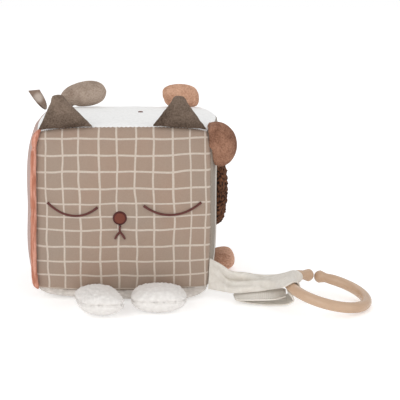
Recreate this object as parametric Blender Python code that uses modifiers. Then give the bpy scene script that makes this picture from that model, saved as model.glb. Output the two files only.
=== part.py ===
"""Soft fabric activity block with a sleeping cat's face, flopping ears and feet, a tag and a ring.

The block is a foam core in six sewn panels. Lengths are in metres, +Z is up, the cat's face looks
towards -Y, and the origin is on the floor under the middle of the block.
"""
import math

import bmesh
import bpy
from mathutils import Matrix, Vector

# Block: distances between its seams, and how far its panels swell past them
BLOCK_WIDTH = 0.140
BLOCK_DEPTH = 0.140
BLOCK_HEIGHT = 0.1335
SEAM_LIFT = 0.0085
SIDE_CROWN = 0.0085
SIDE_BOW = 0.0015
FRONT_CROWN = 0.0070
FRONT_BOW = 0.0040
TOP_CROWN = 0.0028
TOP_BOW = 0.0040
BOTTOM_BOW = 0.0018
FLAT_CUT = 0.0005
CORNER_DRAW = 0.0018
PANEL_THICKNESS = 0.0040
CLEARANCE = 0.0003
CROWN_POWER = 4
BOTTOM_POWER = 8
CORNER_POWER = 6
PANEL_CELLS = 14

# Edge roll down the front left seam
ROLL_RADIUS = 0.0031
ROLL_END_SHARE = 0.99
ROLL_END_SHARES = (0.35, 0.8)
ROLL_TURN = math.radians(60)
ROLL_POINTS = 16

# Face stitched on the front panel
THREAD_RADIUS = 0.0010
LEFT_EYE_SHARE = -0.569
LEFT_EYE_SPAN = 0.0396
LEFT_EYE_TILT = -0.0018
RIGHT_EYE_SHARE = 0.563
RIGHT_EYE_SPAN = 0.0446
RIGHT_EYE_TILT = 0.0008
EYE_DROP = 0.0087
EYE_STEPS = 4
EYE_HEIGHT = 0.0824
NOSE_WIDTH = 0.0115
NOSE_PUFF = 0.0022
NOSE_HEIGHT = 0.0715
FACE_OFFSET = -0.0022
MOUTH_HEIGHT = 0.0596
LIP_DROP = 0.0054
LIP_SPAN = 0.0080
TOP_NOSE_WIDTH = 0.0042
TOP_NOSE_PUFF = 0.0014
TOP_NOSE_SHARES = (0.20, 0.18)

# Mane patch on the right panel
MANE_WIDTH = 0.068
MANE_HEIGHT = 0.066
MANE_PUFF = 0.0095
MANE_SHARES = (0.0, 0.04)

# Padded ears and feet: each is sewn into a seam by its thin root
ROOT_RADIUS = 0.0015
LOBE_SEGMENTS = 16
LOBE_RINGS = 12
EAR_WIDTH = 0.0445
EAR_LENGTH = 0.0245
EAR_THICKNESS = 0.0100
EAR_SEAT = 0.0003
EAR_BACK_SHARE = 1.0
LEFT_LOBE_WIDTH = 0.0248
LEFT_LOBE_LENGTH = 0.0445
LEFT_LOBE_THICKNESS = 0.0215
LEFT_LOBE_SWING = math.radians(81)
LEFT_LOBE_TURN_SHARE = 0.38
RIGHT_LOBE_WIDTH = 0.0345
RIGHT_LOBE_LENGTH = 0.0240
RIGHT_LOBE_THICKNESS = 0.0190
RIGHT_LOBE_LEAN_SHARE = -0.116
SIDE_EAR_WIDTH = 0.0300
SIDE_EAR_LENGTH = 0.0410
SIDE_EAR_THICKNESS = 0.0240
SIDE_EAR_DROOP = math.radians(92)
SIDE_EAR_TURN_SHARE = 0.80
SPINE_STEPS = 80
SIDE_FOOT_WIDTH = 0.036
SIDE_FOOT_LENGTH = 0.0255
SIDE_FOOT_THICKNESS = 0.0195
LEFT_FOOT_WIDTH = 0.0355
LEFT_FOOT_LENGTH = 0.0610
LEFT_FOOT_LEAN = 0.0115
RIGHT_FOOT_WIDTH = 0.0490
RIGHT_FOOT_LENGTH = 0.0500
FOOT_THICKNESS = 0.0205
FLOOR_GAP = 0.0002
EAR_LEAN_SHARE = -0.06

# Where each is sewn along its seam, as a share of half the block
LEFT_EAR_SHARE = -0.645
RIGHT_EAR_SHARE = 0.67
LEFT_LOBE_SHARE = -0.79
RIGHT_LOBE_SHARE = 0.755
SIDE_EAR_SHARE = -0.80
SIDE_FOOT_SHARE = 0.30
LEFT_FOOT_SHARE = -0.37
RIGHT_FOOT_SHARE = 0.41
TAG_SHARE = 0.72
STEP_SHARE = 0.02

# How each points, as a share of its way up or out
LEFT_LOBE_FORWARD_SHARE = 0.42
RIGHT_LOBE_FORWARD_SHARE = 0.85
SIDE_EAR_DROP_SHARE = 0.42
SIDE_FOOT_RISE_SHARE = 0.28
FOOT_RISE_SHARE = 0.11
TAG_REACH_SHARE = -0.58

# Ribbon tag, folded into a loop
TAG_WIDTH = 0.0088
TAG_LENGTH = 0.0200
TAG_TWIST = math.radians(-60)
TAG_RIBBON = 0.0009
TAG_SLOT = 0.0006
TAG_ROOT_SHARE = 0.75
TAG_STEPS = 8

# C-shaped ring, lying against the floor with its cloth side raised
RING_RADIUS = 0.0310
RING_TUBE = 0.0051
RING_KNOB = 0.0054
RING_GAP = 0.0012
RING_REACH = 0.0970
RING_FORWARD = 0.0276
RING_TILT = math.radians(13.2)
RING_LEAN = math.radians(4.4)
RING_GAP_ANGLE = math.radians(104.5)
RING_SIDES = 3
RING_STEPS = 44
KNOB_STEPS = 6
KNOB_START_SHARE = 0.4
NECK_SHARE = 0.97

# Muslin strap: run, loop round the ring, and the tail under the run
CLOTH = 0.0016
STRAP_ROOT_WIDTH = 0.0290
STRAP_ROOT_HEIGHT = 0.0195
PLEAT_DEPTH = 0.0016
PLEATS = 2.5
LOOP_SLACK = 0.0006
LOOP_LIP = 0.0042
LOOP_START = math.radians(143)
LOOP_SWEEP = math.radians(60)
LOOP_STEPS = 12
LOOP_MOUTH = math.radians(52)
LOOP_SIDES = 14
LIP_SIDES = 4
STRAP_CELLS = 20
STRAP_ROWS = 10
UPPER_EDGE_SHARES = [(0.22, -0.05, 0.62), (0.50, -0.08, 0.30), (0.78, -0.05, 0.30)]
LOWER_EDGE_SHARES = [(0.25, -0.18, 0.05), (0.48, -0.34, 0), (0.74, -0.50, 0.36)]
PLEAT_SLANT_SHARE = 0.3
CALM_POWER = 0.7
TAIL_LENGTH = 0.0270
TAIL_WIDTH = 0.0240
TAIL_THICKNESS = 0.0078
TAIL_CELLS = 6
TAIL_BACK_SHARE = 0.1
TAIL_SLANT_SHARE = 0.25
TAIL_THIN_SHARE = 0.35
TAIL_LOW_SHARE = 0.93
TAIL_RISE_SHARE = 0.14

HALF = Vector((BLOCK_WIDTH / 2, BLOCK_DEPTH / 2, BLOCK_HEIGHT / 2))
MIDDLE_HEIGHT = SEAM_LIFT + HALF.z
GAP_SHARE = CLEARANCE / HALF.x
INNER_SHARE = 1 - PANEL_THICKNESS / HALF.x


def clear_scene():
    for item in list(bpy.data.objects):
        bpy.data.objects.remove(item, do_unlink=True)


def new_collection(name):
    collection = bpy.data.collections.new(name)
    bpy.context.scene.collection.children.link(collection)
    return collection


def material(name, colour, roughness):
    made = bpy.data.materials.new(name)
    made.use_nodes = True
    shader = made.node_tree.nodes["Principled BSDF"]
    shader.inputs["Base Color"].default_value = (*colour, 1.0)
    shader.inputs["Roughness"].default_value = roughness
    return made


def add_object(name, data, finish, collection, matrix=None):
    made = bpy.data.objects.new(name, data)
    data.materials.append(finish)
    collection.objects.link(made)
    if matrix is not None:
        made.matrix_world = matrix
    return made


def mesh_from(bm, name):
    mesh = bpy.data.meshes.new(name)
    if bm.calc_volume(signed=True) < 0:
        bmesh.ops.reverse_faces(bm, faces=bm.faces)
    bm.to_mesh(mesh)
    bm.free()
    mesh.shade_smooth()
    mesh.set_sharp_from_angle(angle=math.radians(50))
    return mesh


def mesh_of_curve(made, collection):
    """Turn a curve object into a mesh object with welded caps, so that it can be cut or joined."""
    bpy.context.view_layer.update()
    graph = bpy.context.evaluated_depsgraph_get()
    mesh = bpy.data.meshes.new_from_object(made.evaluated_get(graph))
    bm = bmesh.new()
    bm.from_mesh(mesh)
    bmesh.ops.remove_doubles(bm, verts=bm.verts, dist=CLEARANCE / 10)
    bm.to_mesh(mesh)
    bm.free()
    name = made.name
    place = made.matrix_world.copy()
    bpy.data.objects.remove(made, do_unlink=True)
    solid = bpy.data.objects.new(name, mesh)
    solid.matrix_world = place
    collection.objects.link(solid)
    return solid


def boolean(target, cutter, operation="DIFFERENCE"):
    step = target.modifiers.new(operation.title(), "BOOLEAN")
    step.operation = operation
    step.object = cutter
    step.solver = "EXACT"


def hide_cutter(cutter):
    cutter.hide_render = True
    cutter.display_type = "WIRE"


def swell(depth, first, second, crown, bow, power=CROWN_POWER):
    """How far a panel stands past its seam plane: its crown, and the bow of its own seams."""
    pillow = crown * (1 - abs(first) ** power) * (1 - abs(second) ** power)
    return depth * depth * (pillow + bow * (1 - first * first * second * second))


def soften(share):
    """The place in the stuffed block of a point given as shares of its half sizes."""
    x, y, z = share
    if z > 0:
        rise = swell(z, x, y, TOP_CROWN, TOP_BOW * (1 - y) / 2)
    else:
        bottom_crown = SEAM_LIFT + FLAT_CUT - BOTTOM_BOW
        rise = -swell(z, x, y, bottom_crown, BOTTOM_BOW, BOTTOM_POWER)
    out = Vector((
        math.copysign(swell(x, y, z, SIDE_CROWN, SIDE_BOW), x),
        math.copysign(swell(y, x, z, FRONT_CROWN, FRONT_BOW), y),
        rise,
    ))
    draw = CORNER_DRAW * abs(x * y * z) ** CORNER_POWER
    for axis, value in enumerate(share):
        out[axis] += HALF[axis] * value - math.copysign(draw, value)
    out.z += MIDDLE_HEIGHT
    return out


def share_of(x, z):
    """Shares across and up the block for a place given in metres."""
    return x / HALF.x, (z - MIDDLE_HEIGHT) / HALF.z


def on_front(x, z, lift):
    across, up = share_of(x, z)
    return soften((across, -1, up)) - Vector((0, lift, 0))


def face_share(side, first, second, depth):
    """Unit cube point on one side of the block, at a depth of 1 on the outside."""
    axis, sign = side
    share = [first * depth, second * depth]
    share.insert(axis, sign * depth)
    return share


def panel_mesh(name, side):
    """A thin box, divided like a grid, whose outside and inside follow the stuffed block."""
    bm = bmesh.new()
    bmesh.ops.create_cube(bm, size=2)
    flat = [edge for edge in bm.edges if abs(edge.verts[0].co.z - edge.verts[1].co.z) < 1]
    bmesh.ops.subdivide_edges(bm, edges=flat, cuts=PANEL_CELLS - 1, use_grid_fill=True)
    for vert in bm.verts:
        outside = vert.co.z > 0
        depth = 1 if outside else INNER_SHARE
        reach = 1 - GAP_SHARE
        vert.co = soften(face_share(side, vert.co.x * reach, vert.co.y * reach, depth))
        if outside and side == (2, -1):
            vert.co.z = max(vert.co.z, 0)
    return mesh_from(bm, name)


def block_mesh(name, depth):
    """The whole stuffed block at one depth: the core inside the panels, or a cutter around them."""
    bm = bmesh.new()
    bmesh.ops.create_cube(bm, size=2)
    bmesh.ops.subdivide_edges(bm, edges=bm.edges, cuts=PANEL_CELLS - 1, use_grid_fill=True)
    for vert in bm.verts:
        vert.co = soften(vert.co * depth)
    return mesh_from(bm, name)


def share_at(table, t):
    """Read a table of shares at t, on straight lines between its rows."""
    for (t0, value0), (t1, value1) in zip(table, table[1:]):
        if t <= t1:
            return value0 + (value1 - value0) * (t - t0) / (t1 - t0)
    return table[-1][1]


# Outlines and bulk of the padded forms, from root to tip
EAR_WIDTH_SHARES = [(0, 0), (0.03, 1), (0.2, 0.84), (0.8, 0.30), (0.93, 0.19), (1, 0)]
EAR_BULK_SHARES = [(0, 0), (0.03, 0.3), (0.25, 1), (0.6, 0.85), (0.9, 0.42), (1, 0)]
LOBE_WIDTH_SHARES = [
    (0, 0), (0.03, 0.6), (0.2, 0.66), (0.45, 0.92), (0.66, 1), (0.86, 0.8), (0.95, 0.5), (1, 0)]
LOBE_BULK_SHARES = [
    (0, 0), (0.03, 0.14), (0.2, 0.62), (0.45, 1), (0.7, 0.94), (0.88, 0.66), (0.96, 0.44), (1, 0)]
FOOT_WIDTH_SHARES = [(0, 0), (0.03, 0.8), (0.25, 0.94), (0.6, 1), (0.85, 0.92), (0.95, 0.7), (1, 0)]
FOOT_BULK_SHARES = [(0, 0), (0.03, 0.16), (0.15, 0.54), (0.4, 1), (0.75, 0.92), (0.93, 0.68), (1, 0)]


def bent_spine(length, swing, droop, turn_share):
    """The middle line of a lobe, as places with their directions across and through it.

    Near its root it turns along the seam by the swing, or down by the droop, and then runs straight.
    """
    place = Vector((0, -ROOT_RADIUS, 0))
    spine = []
    for index in range(SPINE_STEPS + 1):
        part = min(1, index / (SPINE_STEPS * turn_share))
        side, down = swing * part, droop * part
        across = Vector((math.cos(side), -math.sin(side), 0))
        ahead = Vector((math.sin(side), math.cos(side), 0)) * math.cos(down)
        ahead.z = math.sin(down)
        spine.append((place.copy(), across, across.cross(ahead)))
        place += ahead * (length + ROOT_RADIUS) / SPINE_STEPS
    return spine


def padded_lobe(name, frame, size, widths, bulks, lean=0.0, floor=None, bend=(0, 0, 1)):
    """A stuffed form between two sewn faces: X runs along the seam, Y from root to tip."""
    width, length, thickness = size
    spine = bent_spine(length, *bend)
    bm = bmesh.new()
    bmesh.ops.create_uvsphere(bm, u_segments=LOBE_SEGMENTS, v_segments=LOBE_RINGS, radius=1)
    inverse = frame.inverted()
    for vert in bm.verts:
        t = (1 + vert.co.z) / 2
        ring = math.hypot(vert.co.x, vert.co.y) or 1
        place, across, through = spine[round(t * SPINE_STEPS)]
        side = vert.co.x / ring * share_at(widths, t) * width / 2 + lean * t
        depth = vert.co.y / ring * share_at(bulks, t) * thickness / 2
        vert.co = place + across * side + through * depth
        if floor is not None:
            world = frame @ vert.co
            world.z = max(world.z, floor)
            vert.co = inverse @ world
    return mesh_from(bm, name)


def seam_frame(share, outward, along_seam, pointing):
    """Frame of a root on a seam: origin on the hinge line, X along the seam, Y to the tip."""
    origin = soften(share) + outward.normalized() * (ROOT_RADIUS + CLEARANCE)
    across = along_seam.normalized()
    ahead = (pointing - across * pointing.dot(across)).normalized()
    turn = Matrix((across, ahead, across.cross(ahead))).transposed()
    return Matrix.Translation(origin) @ turn.to_4x4()


def tube_curve(name, points, radius, sides, shares=None):
    curve = bpy.data.curves.new(name, "CURVE")
    curve.dimensions = "3D"
    curve.bevel_depth = radius
    curve.bevel_resolution = sides
    curve.use_fill_caps = True
    spline = curve.splines.new("POLY")
    spline.points.add(len(points) - 1)
    for index, (target, place) in enumerate(zip(spline.points, points)):
        target.co = (*place, 1)
        target.radius = shares[index] if shares else 1
    return curve


def make_block(parts, finishes, cutters):
    add_object("foam_core", block_mesh("foam_core", INNER_SHARE - GAP_SHARE), finishes["foam"], parts)
    sides = {
        "front_panel": (1, -1), "back_panel": (1, 1), "left_panel": (0, -1),
        "right_panel": (0, 1), "top_panel": (2, 1), "bottom_panel": (2, -1),
    }
    for name, side in sides.items():
        add_object(name, panel_mesh(name, side), finishes[name], parts)
    outside = block_mesh("block_clearance", 1 + GAP_SHARE)
    cutter = add_object("block_clearance", outside, finishes["foam"], cutters)
    hide_cutter(cutter)
    return cutter


def make_edge_roll(parts, finish):
    """A stuffed salmon roll that follows the front left seam on its outer side."""
    points = []
    shares = []
    away = Vector((-math.cos(ROLL_TURN), -math.sin(ROLL_TURN), 0))
    for index in range(ROLL_POINTS):
        t = index / (ROLL_POINTS - 1)
        up = ROLL_END_SHARE * (2 * t - 1)
        points.append(soften((-1, -1, up)) + away * (ROLL_RADIUS + 2 * CLEARANCE))
        edge = min(t, 1 - t) * (ROLL_POINTS - 1)
        shares.append(ROLL_END_SHARES[int(edge)] if edge < len(ROLL_END_SHARES) else 1)
    curve = tube_curve("left_edge_roll", points, ROLL_RADIUS, 2, shares)
    add_object("left_edge_roll", curve, finish, parts)


def stitch_line(name, places, parts, finish):
    lift = THREAD_RADIUS + CLEARANCE
    points = [on_front(x, z, lift) for x, z in places]
    return add_object(name, tube_curve(name, points, THREAD_RADIUS, 1), finish, parts)


def puffed_disc(name, width, puff, base, frame):
    """A round or oval patch: its back follows the surface base(x, y), its front is domed."""
    bm = bmesh.new()
    bmesh.ops.create_uvsphere(bm, u_segments=LOBE_SEGMENTS, v_segments=LOBE_RINGS, radius=1)
    for vert in bm.verts:
        x = vert.co.x * width[0] / 2
        y = vert.co.y * width[1] / 2
        vert.co = frame(x, y, base(x, y) + CLEARANCE + max(vert.co.z, 0) * puff)
    bmesh.ops.dissolve_degenerate(bm, edges=bm.edges, dist=CLEARANCE / 100)
    return mesh_from(bm, name)


def make_face(parts, finishes):
    eyes = {
        "left_eye": (LEFT_EYE_SHARE * HALF.x, LEFT_EYE_SPAN, LEFT_EYE_TILT),
        "right_eye": (RIGHT_EYE_SHARE * HALF.x, RIGHT_EYE_SPAN, RIGHT_EYE_TILT),
    }
    for name, (middle, span, tilt) in eyes.items():
        places = []
        for index in range(2 * EYE_STEPS + 1):
            t = index / EYE_STEPS - 1
            places.append((middle + t * span / 2, EYE_HEIGHT - EYE_DROP * (1 - t * t) + tilt * t))
        stitch_line(name, places, parts, finishes["thread"])
    nose = puffed_disc(
        "nose", (NOSE_WIDTH, NOSE_WIDTH), NOSE_PUFF,
        lambda x, z: -on_front(x + FACE_OFFSET, z + NOSE_HEIGHT, 0).y,
        lambda x, z, out: Vector((x + FACE_OFFSET, -out, z + NOSE_HEIGHT)),
    )
    add_object("nose", nose, finishes["nose"], parts)
    corner = (FACE_OFFSET, MOUTH_HEIGHT)
    lips = [(FACE_OFFSET - LIP_SPAN / 2, MOUTH_HEIGHT - LIP_DROP), corner,
            (FACE_OFFSET + LIP_SPAN / 2, MOUTH_HEIGHT - LIP_DROP)]
    nose_edge = NOSE_HEIGHT - NOSE_WIDTH / 2 - THREAD_RADIUS - CLEARANCE
    mouth = mesh_of_curve(stitch_line("mouth", lips, parts, finishes["thread"]), parts)
    stem = stitch_line("stem", [corner, (FACE_OFFSET, nose_edge)], parts, finishes["thread"])
    return mouth, mesh_of_curve(stem, parts)


def join_mouth(mouth, stem, cutters):
    for collection in list(stem.users_collection):
        collection.objects.unlink(stem)
    cutters.objects.link(stem)
    hide_cutter(stem)
    boolean(mouth, stem, "UNION")


def make_patches(parts, finishes):
    top_x, top_y = (share * half for share, half in zip(TOP_NOSE_SHARES, HALF))
    dot = puffed_disc(
        "top_nose", (TOP_NOSE_WIDTH, TOP_NOSE_WIDTH), TOP_NOSE_PUFF,
        lambda x, y: soften(((x + top_x) / HALF.x, (y + top_y) / HALF.y, 1)).z,
        lambda x, y, out: Vector((x + top_x, y + top_y, out)),
    )
    add_object("top_nose", dot, finishes["nose"], parts)
    mane_y = MANE_SHARES[0] * HALF.y
    mane_z = MANE_SHARES[1] * HALF.z
    mane = puffed_disc(
        "mane_patch", (MANE_WIDTH, MANE_HEIGHT), MANE_PUFF,
        lambda y, z: soften((1, (y + mane_y) / HALF.y, (z + mane_z) / HALF.z)).x,
        lambda y, z, out: Vector((out, y + mane_y, z + mane_z + MIDDLE_HEIGHT)),
    )
    add_object("mane_patch", mane, finishes["mane"], parts)


def ear_frame(share):
    """A cat ear's root follows the bowed front seam, clear of it as the ear folds."""
    along = soften((share + STEP_SHARE, -1, 1)) - soften((share - STEP_SHARE, -1, 1))
    outward = Vector((0, -1, 1))
    frame = seam_frame((share, -1, 1), outward, along, Vector((0, 1, 1)) * EAR_BACK_SHARE + outward)
    return Matrix.Translation(outward.normalized() * EAR_SEAT) @ frame


def make_lobes(parts, finishes, cutter):
    """Ears and feet, each cut where it meets the block."""
    right, back, up = Vector((1, 0, 0)), Vector((0, 1, 0)), Vector((0, 0, 1))
    ear = (EAR_WIDTH, EAR_LENGTH, EAR_THICKNESS)
    straight = (0, 0, 1)
    lobes = [
        ("left_cat_ear", ear_frame(LEFT_EAR_SHARE), ear,
         EAR_WIDTH_SHARES, EAR_BULK_SHARES, EAR_WIDTH * EAR_LEAN_SHARE, None, straight, "velour"),
        ("right_cat_ear", ear_frame(RIGHT_EAR_SHARE), ear,
         EAR_WIDTH_SHARES, EAR_BULK_SHARES, EAR_WIDTH * EAR_LEAN_SHARE, None, straight, "velour"),
        ("top_left_lobe",
         seam_frame((LEFT_LOBE_SHARE, 1, 1), up + back, right, up - back * LEFT_LOBE_FORWARD_SHARE),
         (LEFT_LOBE_WIDTH, LEFT_LOBE_LENGTH, LEFT_LOBE_THICKNESS),
         LOBE_WIDTH_SHARES, LOBE_BULK_SHARES, 0, None,
         (LEFT_LOBE_SWING, 0, LEFT_LOBE_TURN_SHARE), "lobe_velour"),
        ("top_right_lobe",
         seam_frame((RIGHT_LOBE_SHARE, 1, 1), up + back, right, up - back * RIGHT_LOBE_FORWARD_SHARE),
         (RIGHT_LOBE_WIDTH, RIGHT_LOBE_LENGTH, RIGHT_LOBE_THICKNESS),
         FOOT_WIDTH_SHARES, FOOT_BULK_SHARES, RIGHT_LOBE_WIDTH * RIGHT_LOBE_LEAN_SHARE, None,
         straight, "salmon"),
        ("side_ear",
         seam_frame((1, SIDE_EAR_SHARE, 1), up + right, back, right - up * SIDE_EAR_DROP_SHARE),
         (SIDE_EAR_WIDTH, SIDE_EAR_LENGTH, SIDE_EAR_THICKNESS),
         LOBE_WIDTH_SHARES, LOBE_BULK_SHARES, 0, None,
         (0, SIDE_EAR_DROOP, SIDE_EAR_TURN_SHARE), "salmon_brown"),
        ("side_foot",
         seam_frame((1, SIDE_FOOT_SHARE, -1), right, back, right + up * SIDE_FOOT_RISE_SHARE),
         (SIDE_FOOT_WIDTH, SIDE_FOOT_LENGTH, SIDE_FOOT_THICKNESS),
         FOOT_WIDTH_SHARES, FOOT_BULK_SHARES, 0, FLOOR_GAP, straight, "salmon"),
        ("left_foot",
         seam_frame((LEFT_FOOT_SHARE, -1, -1), -back, right, up * FOOT_RISE_SHARE - back),
         (LEFT_FOOT_WIDTH, LEFT_FOOT_LENGTH, FOOT_THICKNESS),
         FOOT_WIDTH_SHARES, FOOT_BULK_SHARES, LEFT_FOOT_LEAN, FLOOR_GAP, straight, "sherpa"),
        ("right_foot",
         seam_frame((RIGHT_FOOT_SHARE, -1, -1), -back, right, up * FOOT_RISE_SHARE - back),
         (RIGHT_FOOT_WIDTH, RIGHT_FOOT_LENGTH, FOOT_THICKNESS),
         FOOT_WIDTH_SHARES, FOOT_BULK_SHARES, 0, FLOOR_GAP, straight, "sherpa"),
    ]
    for name, frame, size, widths, bulks, lean, floor, bend, finish in lobes:
        mesh = padded_lobe(name, frame, size, widths, bulks, lean, floor, bend)
        made = add_object(name, mesh, finishes[finish], parts, frame)
        boolean(made, cutter)


def make_tag(parts, finish):
    """A ribbon doubled into a flat loop: an open strip given its thickness."""
    pointing = Vector((TAG_REACH_SHARE, 0, 1))
    frame = seam_frame((-1, TAG_SHARE, 1), Vector((-1, 0, 1)), Vector((0, 1, 0)), pointing)
    bend = (TAG_SLOT + TAG_RIBBON) / 2
    outline = [(bend, -TAG_ROOT_SHARE * ROOT_RADIUS)]
    for index in range(TAG_STEPS + 1):
        angle = math.pi * index / TAG_STEPS
        outline.append((bend * math.cos(angle), TAG_LENGTH - bend + bend * math.sin(angle)))
    outline.append((-bend, -TAG_ROOT_SHARE * ROOT_RADIUS))
    bm = bmesh.new()
    rows = []
    for through, ahead in outline:
        place = Vector((-TAG_WIDTH / 2, ahead, through))
        rows.append(bm.verts.new(place))
    edges = [bm.edges.new(pair) for pair in zip(rows, rows[1:])]
    wide = bmesh.ops.extrude_edge_only(bm, edges=edges)["geom"]
    moved = [item for item in wide if isinstance(item, bmesh.types.BMVert)]
    bmesh.ops.translate(bm, verts=moved, vec=Vector((TAG_WIDTH, 0, 0)))
    for vert in bm.verts:
        twist = Matrix.Rotation(TAG_TWIST * vert.co.y / TAG_LENGTH, 3, "Y")
        vert.co = twist @ vert.co
    made = add_object("ribbon_tag", mesh_from(bm, "ribbon_tag"), finish, parts, frame)
    shell = made.modifiers.new("Ribbon", "SOLIDIFY")
    shell.thickness = TAG_RIBBON
    shell.offset = 0
    return made


def ring_frame():
    """Centre and tilt of the ring: its lowest point just clears the floor."""
    tilt = Matrix.Rotation(RING_TILT, 3, "Y") @ Matrix.Rotation(RING_LEAN, 3, "X")
    normal = tilt @ Vector((0, 0, 1))
    lowest = RING_RADIUS * math.sqrt(1 - normal.z * normal.z) + RING_TUBE
    centre = Vector((HALF.x + RING_REACH, -HALF.y - RING_FORWARD, lowest + FLOOR_GAP))
    return Matrix.Translation(centre) @ tilt.to_4x4()


def make_ring(parts, finish):
    """One bent rod with a round knob at each end of its gap."""
    half_gap = math.asin((RING_KNOB + RING_GAP / 2) / RING_RADIUS)
    start = RING_GAP_ANGLE + half_gap
    sweep = 2 * math.pi - 2 * half_gap
    stops = []
    knob_turn = RING_KNOB / RING_RADIUS
    for index in range(KNOB_STEPS):
        off = math.cos(math.pi * (index + KNOB_START_SHARE) / (2 * KNOB_STEPS))
        stops.append((-off * knob_turn, math.sqrt(1 - off * off) * RING_KNOB / RING_TUBE))
    neck = math.sqrt(RING_KNOB ** 2 - (RING_TUBE * NECK_SHARE) ** 2) / RING_RADIUS
    stops.append((neck, NECK_SHARE))
    turns = [(start + turn, size) for turn, size in stops]
    inner = sweep - 4 * neck
    turns += [(start + 2 * neck + inner * i / RING_STEPS, 1) for i in range(RING_STEPS + 1)]
    turns += [(start + sweep - turn, size) for turn, size in reversed(stops)]
    points = [(RING_RADIUS * math.cos(a), RING_RADIUS * math.sin(a), 0) for a, _ in turns]
    curve = tube_curve("c_ring", points, RING_TUBE, RING_SIDES, [size for _, size in turns])
    add_object("c_ring", curve, finish, parts, ring_frame())


def lip_radius():
    return RING_RADIUS + RING_TUBE + LOOP_SLACK + CLOTH + LOOP_LIP


def make_loop(parts, cutters, finish):
    """The strap's fold round the ring: a teardrop section turned about the ring's axis."""
    frame = ring_frame()
    outer = RING_TUBE + LOOP_SLACK + CLOTH
    profile = []
    for index in range(LOOP_SIDES + 1):
        angle = LOOP_MOUTH + (2 * math.pi - 2 * LOOP_MOUTH) * index / LOOP_SIDES
        profile.append((RING_RADIUS + outer * math.cos(angle), outer * math.sin(angle)))
    lip = lip_radius() - CLOTH / 2
    for index in range(LIP_SIDES + 1):
        angle = math.pi * (index / LIP_SIDES - 1 / 2)
        profile.append((lip + CLOTH / 2 * math.cos(angle), CLOTH / 2 * math.sin(angle)))
    bm = bmesh.new()
    turn = Matrix.Rotation(LOOP_START, 3, "Z")
    verts = [bm.verts.new(turn @ Vector((radius, 0, height))) for radius, height in profile]
    face = bm.faces.new(verts)
    bmesh.ops.spin(
        bm, geom=[face, *face.edges, *face.verts], cent=(0, 0, 0), axis=(0, 0, 1),
        angle=LOOP_SWEEP, steps=LOOP_STEPS, use_duplicate=False,
    )
    made = add_object("strap_loop", mesh_from(bm, "strap_loop"), finish, parts, frame)
    bpy.ops.mesh.primitive_torus_add(
        major_radius=RING_RADIUS, minor_radius=RING_TUBE + LOOP_SLACK,
        major_segments=6 * LOOP_STEPS, minor_segments=LOOP_SIDES,
    )
    cutter = bpy.context.object
    cutter.name = "ring_way"
    cutter.matrix_world = frame
    for collection in list(cutter.users_collection):
        collection.objects.unlink(cutter)
    cutters.objects.link(cutter)
    hide_cutter(cutter)
    boolean(made, cutter)


def strap_edges():
    """The strap's upper and lower edges, from the seam to the loop's lip."""
    top = STRAP_ROOT_HEIGHT + STRAP_ROOT_WIDTH / 2
    seam = soften((1, -1, (top - MIDDLE_HEIGHT) / HALF.z))
    root = seam + Vector((1, -1, 0)).normalized() * (CLOTH + CLEARANCE) / 2
    root.z = STRAP_ROOT_HEIGHT
    frame = ring_frame()
    reach = lip_radius() + CLOTH / 2 + 2 * CLEARANCE
    ends = []
    for turn in (LOOP_START, LOOP_START + LOOP_SWEEP):
        ends.append(frame @ Vector((reach * math.cos(turn), reach * math.sin(turn), 0)))
    half = Vector((0, 0, STRAP_ROOT_WIDTH / 2))
    run = ends[0].x - root.x
    rise = ends[0].z
    upper = [root + half]
    for along, forward, height in UPPER_EDGE_SHARES:
        upper.append(root + Vector((along * run, forward * run, height * half.z)))
    upper.append(ends[0])
    low = CLOTH / 2 + PLEAT_DEPTH
    lower = [root - half]
    for along, forward, height in LOWER_EDGE_SHARES:
        lower.append(Vector((root.x + along * run, root.y + forward * run, low + height * rise)))
    lower.append(ends[1])
    return upper, lower


def smooth_point(points, t):
    """A point on the curve through all the points, at a share t of their number."""
    spans = len(points) - 1
    index = min(int(t * spans), spans - 1)
    part = t * spans - index
    before = points[index - 1] if index else points[0] * 2 - points[1]
    after = points[index + 2] if index + 2 <= spans else points[-1] * 2 - points[-2]
    start, end = points[index], points[index + 1]
    slope = (end - before) / 2
    slope_end = (after - start) / 2
    square, cube = part * part, part * part * part
    return (start * (2 * cube - 3 * square + 1) + slope * (cube - 2 * square + part)
            + end * (3 * square - 2 * cube) + slope_end * (cube - square))


def make_strap(parts, finish):
    """A strip of muslin that turns from upright at the seam to lying at the ring, in soft pleats."""
    upper, lower = strap_edges()
    frame = ring_frame()
    reach = lip_radius() + CLOTH / 2 + 2 * CLEARANCE
    seam = (upper[0] + lower[0]) / 2
    bm = bmesh.new()
    bmesh.ops.create_grid(bm, x_segments=STRAP_CELLS, y_segments=STRAP_ROWS, size=1)
    for vert in bm.verts:
        t = (vert.co.x + 1) / 2
        w = (vert.co.y + 1) / 2
        high, low = smooth_point(upper, t), smooth_point(lower, t)
        place = high.lerp(low, w)
        turn = LOOP_START + LOOP_SWEEP * w
        lip = frame @ Vector((reach * math.cos(turn), reach * math.sin(turn), 0))
        chord = upper[-1].lerp(lower[-1], w)
        place += (lip - chord) * t ** 4
        calm = math.sin(math.pi * t) ** CALM_POWER if 0 < t < 1 else 0
        across = (low - high).normalized()
        ahead = smooth_point(upper, min(t + STEP_SHARE, 1)) - smooth_point(upper, max(t - STEP_SHARE, 0))
        out = across.cross(ahead.normalized()).normalized()
        place += out * PLEAT_DEPTH * calm * math.sin(math.pi * PLEATS * (w + PLEAT_SLANT_SHARE * t))
        vert.co = place - seam
    made = add_object("muslin_strap", mesh_from(bm, "muslin_strap"), finish, parts,
                      Matrix.Translation(seam))
    shell = made.modifiers.new("Cloth", "SOLIDIFY")
    shell.thickness = CLOTH
    shell.offset = 0
    return made


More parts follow.
